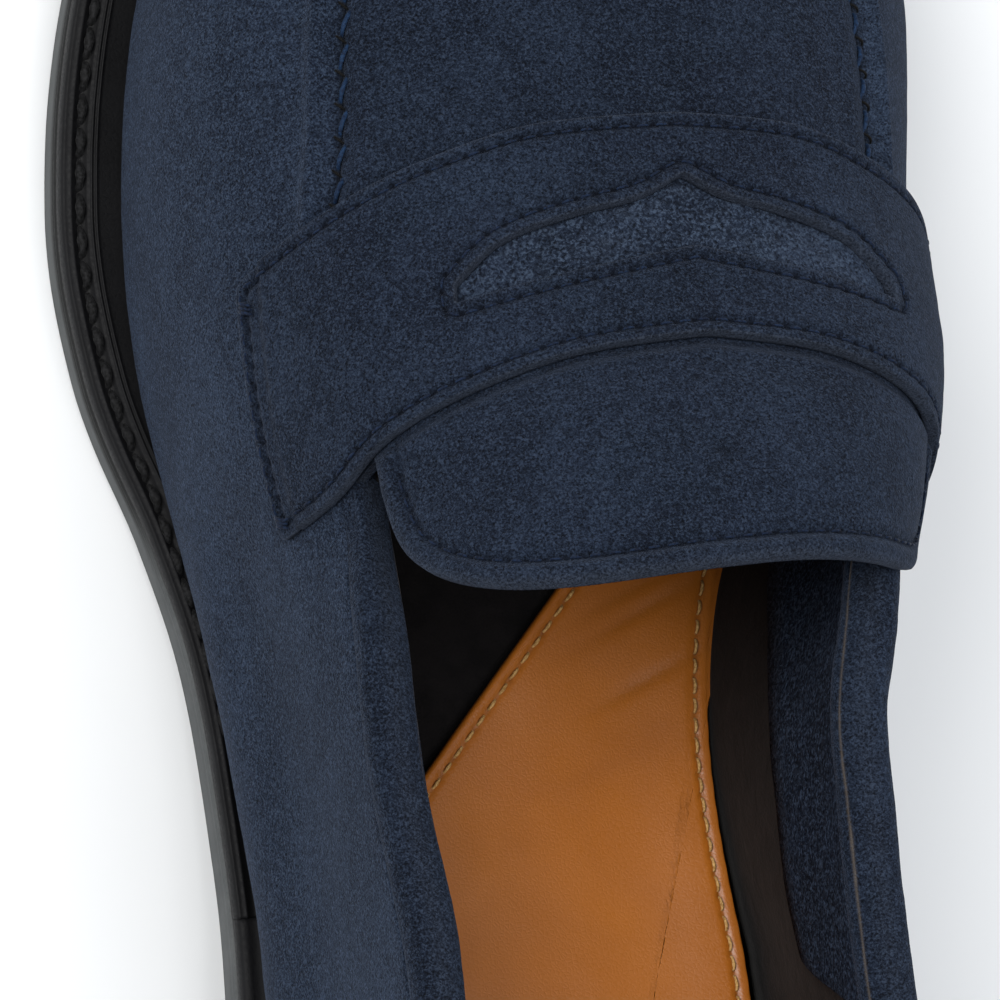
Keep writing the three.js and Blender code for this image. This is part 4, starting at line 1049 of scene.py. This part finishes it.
def rear_corner(side):
    """Place where the strap's rear edge crosses the apron seam, with its share of the half girth."""
    s = TONGUE_SIDE
    for _ in range(24):
        u = place(STRAP_REAR(s) + 0.4, side)
        s = 0.5 * s + 0.5 * (1 - (around(EDGE_AT, u) + APRON_INSET) / around(TOTAL, u))
    return float(s), float(u)


def apron():
    """Patch over the top of the forepart, turned down into the seam all round."""
    s_lateral, u_lateral = rear_corner("lateral")
    s_medial, u_medial = rear_corner("medial")

    def rear(t):
        s = -s_medial + (s_lateral + s_medial) * t
        return on_top(STRAP_REAR(np.abs(s)) + 0.4, s)[..., :2]

    loop = arc_loop(
        [lambda t: seam_plan(u_lateral + (u_medial - u_lateral) * t), rear], [680, 180]
    )
    loop = smooth_loop(loop, 2)

    def surface(ab, offset):
        x, y = ab[..., 0], ab[..., 1]
        height = over_plan(x, y)
        step = 1.0
        slope_x = (over_plan(x + step, y) - over_plan(x - step, y)) / (2 * step)
        slope_y = (over_plan(x, y + step) - over_plan(x, y - step)) / (2 * step)
        normal = unit(np.stack([-slope_x, -slope_y, np.ones_like(x)], -1))
        return np.stack([x, y, height], -1) + normal * np.asarray(offset)[..., None]

    def shape(points, distance, index):
        l = MIDDLE - points[..., 1]
        front = ease(l, APRON_RIDGE_START, APRON_RIDGE_START + 9)
        lift = (0.25 * bell(distance - 3.0, 1.5) - 0.5 * bell(distance, 1.3)) * front
        swell = rough(points, [(30, 0.3), (12, 0.13), (5, 0.05), (1.6, 0.028)], 41)
        # Painted shade in the seam at the apron's edge.
        return lift + swell * ease(distance, 0, 3), {"sunk": 0.5 * bell(distance, 0.4) * front}

    cache = {}

    def cached(ab, offset):
        key = (ab.shape, float(ab.flat[0]), float(ab.flat[-1]))
        if key not in cache:
            base = surface(ab, 0.0 * ab[..., 0])
            cache[key] = base, surface(ab, 0.0 * ab[..., 0] + 1.0) - base
        base, normal = cache[key]
        return base + normal * np.broadcast_to(offset, ab.shape[:-1])[..., None]

    centre = (SPINE_X(222.0), MIDDLE - 222.0)
    plate("apron_suede", cached, loop, centre, 96, 0.1, -SUEDE, 0.35, shape, "suede_upper", "apron")
    inner = loop * 0.985 + 0.015 * np.array(centre)
    plate("apron_lining_cloth", cached, inner, centre, 30, LINING_OUT, -4.2, 0.3, uneven(LINING_WAVES, 47),
          "textile_black", "apron_lining")
    u = np.linspace(place(196.0, "lateral"), place(196.0, "medial"), 900)
    path = on_last(u, around(EDGE_AT, u), -0.45)
    up = on_last(u, around(EDGE_AT, u), 0.55) - path
    across = unit(np.cross(np.gradient(path, axis=0), up))
    row = Stitching(path, APRON_PITCH)
    strands, holes = [], []
    for k in range(row.count):
        run = (k + 0.5 + np.linspace(-0.38, 0.38, 9)) * row.pitch
        slant = np.linspace(-0.3, 0.7, 9)[:, None]
        strands.append(single(row.at(run) + row.at(run, across) * slant, row.at(run, up)))
        # Short black strands across each needle hole: painted shade in the holes.
        run = (k + 1.0) * row.pitch + np.linspace(-0.5, 0.5, 5)
        slant = np.linspace(0.4, -0.95, 5)[:, None]
        holes.append(single(row.at(run) + row.at(run, across) * slant, row.at(run, up)))
    stitches("apron_needle_holes", holes, 0.17, 0.46, "needle_hole")
    stitches("apron_stitches", strands, 0.3, 0.42, "thread_blue", "apron_thread")


apron()


# ---------------------------------------------------------------- saddle strap
STRAP_THICK = 1.6
STITCH_INSET = 1.6
STITCH_PITCH = 2.3
BACKING_MARGIN = 3.6
TACKS_AT = (188.6, 163.2)
TACK_INSET = 0.023
HALF_GIRTHS = (72.0, 78.0)  # over the strap, lateral and medial


def strap_level(s):
    """The strap rests on its backing in the middle and is drawn down to the wall at its ends."""
    return 0.35 + 0.85 * (1 - ease(np.abs(s), 0.42, STRAP_END - 0.05))


def on_backing(ab, offset):
    return top_surface(ab, strap_level(ab[..., 1]) + offset)


def band(front, rear, end, long_steps, end_steps):
    """Loop in (l, s) along a front edge, down the medial end, back along the rear edge and up."""
    return arc_loop(
        [
            lambda t: np.stack([front(np.abs(end - 2 * end * t)), end - 2 * end * t], 1),
            lambda t: np.stack([front(end) + (rear(end) - front(end)) * t, -end + 0 * t], 1),
            lambda t: np.stack([rear(np.abs(-end + 2 * end * t)), -end + 2 * end * t], 1),
            lambda t: np.stack([rear(end) + (front(end) - rear(end)) * t, end + 0 * t], 1),
        ],
        [long_steps, end_steps, long_steps, end_steps],
    )


def strap():
    """Saddle strap with its window, grooved along both rows of stitching."""
    outer = smooth_loop(band(STRAP_FRONT, STRAP_REAR, STRAP_END, 330, 76), 3)
    window = smooth_loop(band(SLOT_FRONT, SLOT_REAR, SLOT_END, 330, 76), 3)
    share, x, offset, edge = section_ring(STRAP_THICK, 0.0, 0.3, 0.26, 34, reach=3.4, under=8)
    outer_at, window_at = top_surface(outer, 0.0), top_surface(window, 0.0)
    width = np.linalg.norm(outer_at - window_at, axis=1)[:, None]
    mix = ((share * width + x) / width)[..., None]
    ab = window[:, None] + (outer - window)[:, None] * mix
    flat = top_surface(ab, 0.0)
    from_outer, near_outer = to_border(flat, outer_at)
    from_window, near_window = to_border(flat, window_at)
    s = ab[..., 1]
    level = strap_level(s)
    half_girth = np.where(s >= 0, *HALF_GIRTHS)
    from_end = (STRAP_END - np.abs(s)) * half_girth
    top = (offset > STRAP_THICK - 0.8) * 1.0
    rows = {}
    lift = 0 * flat[..., 0]
    sunk = 0 * lift
    for label, loop, distance, near, inset in (
        ("strap", outer, from_outer, near_outer, STITCH_INSET),
        ("window", window, from_window, near_window, -STITCH_INSET),
    ):
        path, up = closed_path(*edge_path(on_backing, loop, STRAP_THICK, inset))
        row = Stitching(path, STITCH_PITCH)
        rows[label] = (row, up)
        off_hole = row.off_hole()[near]
        across = distance - STITCH_INSET
        lift -= 0.3 * bell(across, 0.45) + 0.25 * bell(across, 0.4) * bell(off_hole, 0.45)
        # Painted shade in the stitch groove and the needle holes.
        sunk = np.maximum(sunk, 0.3 * bell(across, 0.22) + bell(across, 0.42) * bell(off_hole, 0.5))
    second = 0.55 + 0.45 * np.cos(ab[..., 0] * 2 * math.pi / STITCH_PITCH)
    lift -= 0.8 * (1 - ease(from_end, 3.0, 3.7)) * ease(from_window, 2, 6)
    # Painted shade in the dotted line at the step near each end of the strap.
    sunk = np.maximum(sunk, 0.95 * second * bell(from_end - 3.3, 0.4))
    swell = rough(flat, [(26, 0.2), (9, 0.1), (3.5, 0.05), (1.3, 0.03)], 51)
    points = top_surface(ab, level + offset + top * (lift + swell * ease(from_outer, 0, 2)))
    fray = 0.5 + 0.5 * rough(flat, [(1.2, 1.0)], 55)
    worn = bell(np.minimum(from_outer, from_window), 0.45) * 0.5
    marks = {
        "edge": np.maximum(edge[None] * 0.85, top * worn * fray),
        "sunk": np.clip(top * sunk, 0, 1),
    }
    obj = build("saddle_strap_suede", points, loft(points, closed=True), marks)
    finish_piece(obj, "shoe", "suede_upper", "saddle_strap")
    for label, (row, up) in rows.items():
        stitches(f"{label}_stitches", [(row, up, 0.6)], 0.17, 0.0, "thread_navy", f"{label}_thread")
    tacks = []
    for s in (STRAP_END - TACK_INSET, TACK_INSET - STRAP_END):
        for l in TACKS_AT:
            for k in range(3):
                ends = np.array([[l + 0.5 * k - 0.7, s - 0.01], [l + 0.5 * k - 0.2, s + 0.01]])
                line = ends[0] + (ends[1] - ends[0]) * np.linspace(0, 1, 12)[:, None]
                path = top_surface(line, strap_level(s) + STRAP_THICK)
                tacks.append(single(path, top_surface(line, 1.0) - top_surface(line, 0.0)))
    stitches("strap_bar_tacks", tacks, 0.22, 0.15, "thread_navy")

    def lit_fleece(points, distance, index):
        heap = rough(points, [(7, 0.25), (2.6, 0.2), (1.1, 0.12)], 61)
        # The edge mark lightens the whole backing, more in random tufts: painted light against the shade in
        # the window.
        return 0.25 + heap, {"edge": 0.15 + 0.3 * np.clip(value_noise(points, 2.2, 63), 0, 1)}

    def front(s):
        return SLOT_FRONT(s) + BACKING_MARGIN

    def rear(s):
        return SLOT_REAR(s) - BACKING_MARGIN

    pad = smooth_loop(band(front, rear, SLOT_END + 0.06, 300, 60), 4)
    plate("strap_backing_suede", top_surface, pad, (194.0, 0.0), 66, 0.75, 0.25, 0.3, lit_fleece, "suede_backing",
          "strap_backing")


strap()

# ---------------------------------------------------------------- tongue
TONGUE_STITCH = 3.0
TONGUE_TOP = 1.95
TONGUE_CORNER = 1.6
TONGUE_TUCK = 2.4
TONGUE_BACK = curve(
    (-0.425, 1.6), (-0.33, 0.0), (-0.1, 1.0), (0.08, -0.4), (0.25, -2.2), (0.34, -1.6), (0.425, 1.6)
)


def tongue():
    """Tongue behind the strap: padded, round-cornered, stitched inside its edge."""
    side = TONGUE_SIDE
    wide = TONGUE_SIDE + 0.022
    back = STRAP_REAR(0.0) - TONGUE_LENGTH
    start = back + TONGUE_CORNER

    def rear(t):
        s = side - 2 * side * t
        return np.stack([back + TONGUE_BACK(s), s], 1)

    def front(s):
        return STRAP_REAR(np.abs(s)) + TONGUE_TUCK

    def medial(t):
        return np.stack([start + (front(side) - start) * t, -side + 0 * t], 1)

    def under_strap(t):
        s = -side + (side + wide) * t
        return np.stack([front(s), s], 1)

    def lateral(t):
        return np.stack([front(wide) + (start - front(wide)) * t, wide + (side - wide) * t], 1)

    loop = arc_loop([rear, medial, under_strap, lateral], [260, 90, 260, 90])
    rounded = smooth_loop(loop, 19, 3)
    hidden = ease(loop[:, 0] - STRAP_REAR(np.abs(loop[:, 1])), -3, 0)[:, None]
    loop = rounded * (1 - hidden) + smooth_loop(loop, 2) * hidden

    def level(ab, offset):
        under = ease(ab[..., 0], STRAP_REAR(np.abs(ab[..., 1])) - 2.2, STRAP_REAR(np.abs(ab[..., 1])) + 0.1)
        top = np.asarray(offset) * (1 - under) + np.minimum(np.asarray(offset), 0.75) * under
        return top_surface(ab, top)

    path, up = edge_path(top_surface, loop, TONGUE_TOP, TONGUE_STITCH)
    visible = np.where(STRAP_REAR(np.abs(loop[:, 1])) - 3.4 > loop[:, 0])[0]
    first = visible[np.argmax(np.diff(np.concatenate([[visible[-1] - len(loop)], visible])))]
    order = (first + np.arange(len(visible))) % len(loop)
    row = Stitching(path[order], STITCH_PITCH)
    off_hole = np.full(len(loop), 9.0)
    off_hole[order] = row.off_hole()

    def shape(points, distance, index):
        across = distance - TONGUE_STITCH
        lift = 0.75 * ease(distance, TONGUE_STITCH, 11) - 0.5 * bell(across, 0.75)
        lift -= 0.2 * bell(across, 0.5) * bell(off_hole[index], 0.45)
        lift += 0.3 * bell(distance - 1.5, 1.0)
        swell = rough(points, [(22, 0.3), (8, 0.12), (3, 0.05), (1.3, 0.03)], 71)
        # Painted shade in the stitch groove and the needle holes.
        sunk = 0.35 * bell(across, 0.3) + 0.65 * bell(across, 0.42) * bell(off_hole[index], 0.5)
        pale = 0.25 * bell(distance - 0.5, 1.0)
        return lift + swell * ease(distance, 0, 2), {"sunk": np.clip(sunk, 0, 1), "edge": pale}

    plate("tongue_suede", level, loop, (back + 15.5, 0.0), 84, TONGUE_TOP, 0.25, 0.75, shape, "suede_upper",
          "tongue", body="tongue")
    stitches("tongue_stitches", [(row, up[order], 0.55)], 0.17, -0.1, "thread_navy", "tongue_thread",
             body="tongue")

    def inner_line(s):
        return STRAP_REAR(np.abs(s)) - 1.2

    lining = arc_loop(
        [
            lambda t: np.stack([start + 0 * t, 0.37 - 0.64 * t], 1),
            lambda t: np.stack([start + (inner_line(0.27) - start) * t, -0.27 + 0 * t], 1),
            lambda t: np.stack([inner_line(-0.27 + 0.64 * t), -0.27 + 0.64 * t], 1),
            lambda t: np.stack([inner_line(0.37) + (start - inner_line(0.37)) * t, 0.37 + 0 * t], 1),
        ],
        [160, 60, 160, 60],
    )
    plate("tongue_lining_leather", top_surface, smooth_loop(lining, 5), (back + 12.0, 0.05), 44, 0.05, -1.0,
          0.3, uneven(((6, 0.08),), 77), "leather_black", "tongue_lining", body="tongue")


tongue()


# ---------------------------------------------------------------- sole
def outer_at(u):
    return around(OUTER_AT, u)


def slab(name, out, bottom, top, corner, slot, node, end=None, rows=230, ink=2.0, grooves=()):
    """Flat layer of the sole across the shoe, with rounded edges; end gives a straight front edge.

    The edge is inked black above the share ink; grooves are (share of the thickness, depth) rings.
    """
    full = end is None
    reach = LAST_LENGTH - 0.4 if full else end
    across = 14
    ends = L_AT[0] + 0.02
    t = np.linspace(0, 1, rows)
    spread = 0.5 - 0.5 * np.cos(math.pi * t) if full else 1 - np.cos(math.pi / 2 * t)
    l = ends + (reach - ends) * spread
    lateral, medial = place(l, "lateral"), place(l, "medial")
    lateral[0], medial[0] = 0.0, 1.0
    if full:
        lateral[-1] = medial[-1] = TOE
    turn = np.linspace(0, math.pi / 2, 5)
    side = [(-corner + corner * math.sin(a), 1.0, -corner + corner * math.cos(a)) for a in turn]
    levels = np.linspace(0, 1, 13)[1:-1]
    side += [(-sum(d * float(bell(k - at, 0.055)) for at, d in grooves), 1 - k, 0.0) for k in levels]
    side += [(-corner + corner * math.cos(a), 0.0, corner - corner * math.sin(a)) for a in turn]

    def edge(u, inset, share, rise):
        p = rim(u, out(u) + inset, 0.0)
        l_here = MIDDLE - p[:, 1]
        low, high = bottom(l_here), top(l_here)
        p[:, 2] = low + (high - low) * share + rise
        return p

    right = np.stack([edge(lateral, *k) for k in side], 1)
    left = np.stack([edge(medial, *k) for k in side], 1)
    w = np.linspace(0, 1, across + 1)[1:-1, None]
    top_row = left[:, :1] + (right[:, :1] - left[:, :1]) * w[None]
    low_row = right[:, -1:] + (left[:, -1:] - right[:, -1:]) * w[None]
    top_row[..., 2] = top(MIDDLE - top_row[..., 1])
    low_row[..., 2] = bottom(MIDDLE - low_row[..., 1])
    inked = np.array([1.0 if share > ink else 0.0 for _, share, _ in side])
    dark = np.concatenate([inked, np.zeros(across - 1), inked[::-1], np.full(across - 1, float(ink < 1))])
    points = np.concatenate([right, low_row, left[:, ::-1], top_row], 1)
    painted = ease(l, 156, 172)[:, None] if ink < 1 else 1.0
    obj = build(name, points, loft(points), {"sunk": np.broadcast_to(dark * painted, points.shape[:2])})
    finish_piece(obj, "shoe", slot, node)


def rim_strip(name, start, end, stations, profile, node):
    """Strip round the sole from a profile of (outward shift, inset from edge, height) corners."""
    u = np.linspace(start, end, stations)
    o = outer_at(u)[:, None]
    anchor, shift, height, mark = np.array(profile).T
    out = o * anchor + INSOLE_EDGE * (1 - anchor) + shift
    p = rim(np.broadcast_to(u[:, None] % 1, out.shape), out, 0.0)
    l = MIDDLE - p[..., 1]
    p[..., 2] = feather_z(l) - 3 + 3 * height
    p[..., 2] += 0.05 * value_noise(p, 2.5, 83)
    obj = build(name, p, loft(p), {"sunk": np.broadcast_to(mark, p.shape[:2])})
    finish_piece(obj, "shoe", "leather_black", node)


def welt_profile():
    """Corners of the welt: wheeled outer edge, stitch channel, two fine ridges and the inner wall."""
    # The last column is painted shade: under the outer edge, in the stitch channel, between the two ridges
    # and where the welt meets the upper.
    rows = [(1, -0.35, 0.0, 0.2), (1, -0.05, 0.12, 0), (1, 0.0, 0.5, 0), (1, -0.05, 0.86, 0)]
    rows.append((1, -0.3, 1.0, 0))
    for k in np.linspace(0.45, 4.6, 42):
        channel = -0.16 * float(bell(k - 2.3, 0.75))
        lip = 0.07 * float(bell(k - 1.2, 0.3) + bell(k - 3.3, 0.3))
        ridge = 0.13 * float(bell(k - 3.75, 0.2) + bell(k - 4.35, 0.2))
        # Painted shade in the channel and between the ridges.
        dark = 0.5 * float(bell(k - 2.3, 0.6)) + 0.5 * float(bell(k - 4.05, 0.15))
        rows.append((1, -k, 1 + channel + lip + ridge, dark))
    rows += [(1, -4.9, 1.0, 0.4), (0, 3.0, 1.0, 0), (0, 0.0, 1.0, 0), (0, 0.0, 0.0, 0)]
    return rows


# The last column is painted shade: under the outer edge and in the groove on top.
RAND_PROFILE = [
    (1, -0.4, 0.0, 0.2), (1, -0.08, 0.14, 0), (1, 0.0, 0.5, 0), (1, -0.08, 0.84, 0), (1, -0.45, 1.0, 0),
    (1, -1.3, 1.0, 0), (1, -1.9, 0.9, 0.3), (1, -2.4, 0.98, 0), (0, 2.0, 1.0, 0), (0, 0.0, 1.0, 0),
    (0, 0.0, 0.0, 0),
]
RAND_END = 118.0
WELT_START = 118.06
HEEL_FRONT = 74.0

welt_ends = [place(WELT_START, side) for side in ("lateral", "medial")]
rim_strip("welt_leather", *welt_ends, 900, welt_profile(), "welt")
rim_strip("heel_rand_leather", place(RAND_END, "medial") - 1, place(RAND_END, "lateral"), 500, RAND_PROFILE,
          "heel_rand")
slab("outsole_rubber", outer_at, tread_z, outsole_z, 0.45, "sole_grey", "outsole", ink=0.62,
     grooves=((0.08, 0.25), (0.34, 0.14)))
for k in range(LIFTS):
    low_z = TOP_PIECE + GAP + k * (LIFT + GAP)
    slab(f"heel_lift_{k + 1}_stack", lambda u, k=k: outer_at(u) - (LIFTS - 1 - k) * 0.5,
         lambda l, z=low_z: z / HEEL_HEIGHT * tread_z(l),
         lambda l, z=low_z: (z + LIFT) / HEEL_HEIGHT * tread_z(l), 0.2, "heel_stack", f"heel_lift_{k + 1}",
         end=HEEL_FRONT, rows=90, grooves=((0.5, 0.08),))
slab("top_piece_rubber", lambda u: outer_at(u) - LIFTS * 0.5, lambda l: 0.12 + 0 * l,
     lambda l: TOP_PIECE / HEEL_HEIGHT * tread_z(l), 0.5, "leather_black", "top_piece", end=HEEL_FRONT,
     rows=90, grooves=((0.75, 0.15),))


def welt_stitches():
    """One row of thick stitches in the channel of the welt."""
    u = np.linspace(place(140.0, "lateral"), place(124.0, "medial"), 1400)
    path = rim(u, np.maximum(outer_at(u) - 2.3, 0.8), lambda l: feather_z(l) - 0.05)
    up = np.broadcast_to([0, 0, 1.0], path.shape)
    row = Stitching(path, 4.1)
    stitches("welt_stitches", [(row, up, 0.86)], 0.55, 0.32, "thread_black", "welt_thread", ply=0.16)


welt_stitches()


# ---------------------------------------------------------------- inside
SOCK_LATERAL, SOCK_MEDIAL = 117.0, 194.0
SOCK_STITCH = 1.7


def sock_edge(u):
    """The edge of the sock, from the feather line: further inside at the medial waist."""
    return SOCK_EDGE - SOCK_WAIST(around(L_AT, u)) * (np.asarray(u) % 1 > TOE)


def sock():
    """Tan leather sock with a slanting stitched front edge, cupped towards its sides and creased."""
    front_lateral, front_medial = place(SOCK_LATERAL, "lateral"), place(SOCK_MEDIAL, "medial")
    run = np.linspace(front_medial - 1, front_lateral, 560, endpoint=False)
    edge = rim(run % 1, sock_edge(run), 0.0)[:, :2]
    forward = unit(np.array([edge[-1, 1] - edge[0, 1], edge[0, 0] - edge[-1, 0]])) * 1.1
    forward = forward if forward[1] < 0 else -forward
    cut = edge[-1] + (edge[0] - edge[-1]) * np.linspace(0, 1, 110, endpoint=False)[:, None] + forward
    loop = smooth_loop(np.vstack([edge, cut]), 3)

    def surface(ab, offset):
        l = MIDDLE - ab[..., 1]
        z = sock_z(l) - 1.0 + np.asarray(offset)
        return np.stack([ab[..., 0], ab[..., 1], z], -1)

    def swell(points, distance):
        l = MIDDLE - points[..., 1]
        cup = 0.64 * (bell(distance, 6.5) - 1)
        arch = 1.3 * bell(points[..., 0] + 22, 9) * bell(l - 118, 45)
        wave = rough(points, [(30, 0.3), (10, 0.1), (4, 0.03)], 91)
        return cup + arch + wave * ease(distance, 0, 4)

    path, up = edge_path(surface, loop, 1.0, SOCK_STITCH)
    path[:, 2] += swell(path - [0, 0, 1.0], np.full(len(path), SOCK_STITCH))
    path, up = closed_path(path, up)
    row = Stitching(path, 2.5)
    off_hole = row.off_hole()

    def shape(points, distance, index):
        across = distance - SOCK_STITCH
        l = MIDDLE - points[..., 1]
        slant = points[..., 0] * 0.5 + l
        crease = sum(
            -0.22 * bell(slant - at, 0.8) * bell(points[..., 0] + 15, 7) for at in (146.5, 149.8, 138.0)
        )
        lift = swell(points, distance) + crease
        lift -= 0.18 * bell(across, 0.5) + 0.15 * bell(across, 0.4) * bell(off_hole[index], 0.4)
        # Painted shade in the stitch groove, the needle holes and the creases.
        sunk = 0.25 * bell(across, 0.3) + 0.5 * bell(across, 0.4) * bell(off_hole[index], 0.35)
        return lift, {"sunk": sunk + 0.22 * np.clip(-crease * 4, 0, 1)}

    plate("sock_leather", surface, loop, (-3.0, MIDDLE - 78.0), 100, 1.0, 0.0, 0.35, shape, "leather_tan",
          "sock_lining")
    stitches("sock_stitches", [(row, up, 0.72)], 0.21, 0.26, "thread_cream", "sock_thread")


def fore_sock():
    """Black cover over the front of the insole, under the sock's front edge."""
    run = np.linspace(place(SOCK_LATERAL - 8, "lateral"), place(SOCK_MEDIAL - 14, "medial"), 500)
    edge = rim(run, SOCK_EDGE, 0.0)[:, :2]

    def surface(ab, offset):
        l = MIDDLE - ab[..., 1]
        return np.stack([ab[..., 0], ab[..., 1], feather_z(l) + 3.9 + np.asarray(offset)], -1)

    plate("forepart_sock_cloth", surface, smooth_loop(edge, 2), (-3.0, MIDDLE - 205.0), 60, 0.7, 0.0, 0.2,
          uneven(((12, 0.15), (4, 0.05)), 95), "textile_black", "forepart_sock")


sock()
fore_sock()

# ---------------------------------------------------------------- floor, light and camera
TARGET = Vector((0.0, 0.0, 0.06))


def stage_floor():
    mesh = bpy.data.meshes.new("floor")
    reach = 6.0
    corners = [(-reach, -reach, 0), (reach, -reach, 0), (reach, reach, 0), (-reach, reach, 0)]
    mesh.from_pydata(corners, [], [(0, 1, 2, 3)])
    floor = bpy.data.objects.new("floor", mesh)
    bpy.context.scene.collection.objects.link(floor)
    look = Look("floor_paper", 0.9, Specular_IOR_Level=0.1)
    look.colour(look.blend(look.noise(60, 3), rgb(0.78, 0.79, 0.80), rgb(0.82, 0.83, 0.84)))
    mesh.materials.append(look.material)


def area_light(name, place_at, size, power, tint=(1.0, 1.0, 1.0)):
    data = bpy.data.lights.new(name, "AREA")
    data.shape = "DISK"
    data.size = size
    data.energy = power
    data.color = tint
    lamp = bpy.data.objects.new(name, data)
    lamp.location = place_at
    lamp.rotation_mode = "QUATERNION"
    lamp.rotation_quaternion = (Vector(place_at) - TARGET).to_track_quat("Z", "Y")
    bpy.context.scene.collection.objects.link(lamp)


def camera():
    """The photograph's view: from the lateral side, high up, with the toe at the top of the frame."""
    data = bpy.data.cameras.new("camera")
    data.sensor_width = 36.0
    data.lens = 277.0
    data.clip_start, data.clip_end = 0.05, 30.0
    eye = Vector((0.30424, 0.05335, 0.90572))
    back = Vector((0.33682, 0.05939, 0.93969)).normalized()
    right = Vector((0.0, -1.0, 0.0)).cross(back).normalized()
    up = back.cross(right)
    roll = math.radians(-2.5)
    turned = right * math.cos(roll) + up * math.sin(roll)
    upright = up * math.cos(roll) - right * math.sin(roll)
    aside, above = math.radians(-1.0867), math.radians(1.1229)
    view = (-back + turned * math.tan(aside) + upright * math.tan(above)).normalized()
    side = (turned - view * turned.dot(view)).normalized()
    top = side.cross(view)
    basis = Matrix((side, top, -view)).transposed().to_4x4()
    basis.translation = eye
    obj = bpy.data.objects.new("camera", data)
    obj.matrix_world = basis
    bpy.context.scene.collection.objects.link(obj)
    bpy.context.scene.camera = obj


def world(colour, strength):
    made = bpy.data.worlds.new("studio")
    made.use_nodes = True
    ground = made.node_tree.nodes["Background"]
    ground.inputs["Color"].default_value = rgb(*colour)
    ground.inputs["Strength"].default_value = strength
    bpy.context.scene.world = made


stage_floor()
area_light("key", (0.9, -0.25, 1.3), 0.9, 20, (1.0, 0.99, 0.97))
area_light("overhead", (-0.2, 0.3, 1.7), 1.2, 12)
area_light("fill", (-1.1, -0.5, 0.9), 1.0, 5, (0.95, 0.97, 1.0))
world((0.93, 0.96, 1.0), 0.55)
camera()
bpy.context.scene.view_settings.view_transform = "Standard"

bpy.context.view_layer.update()
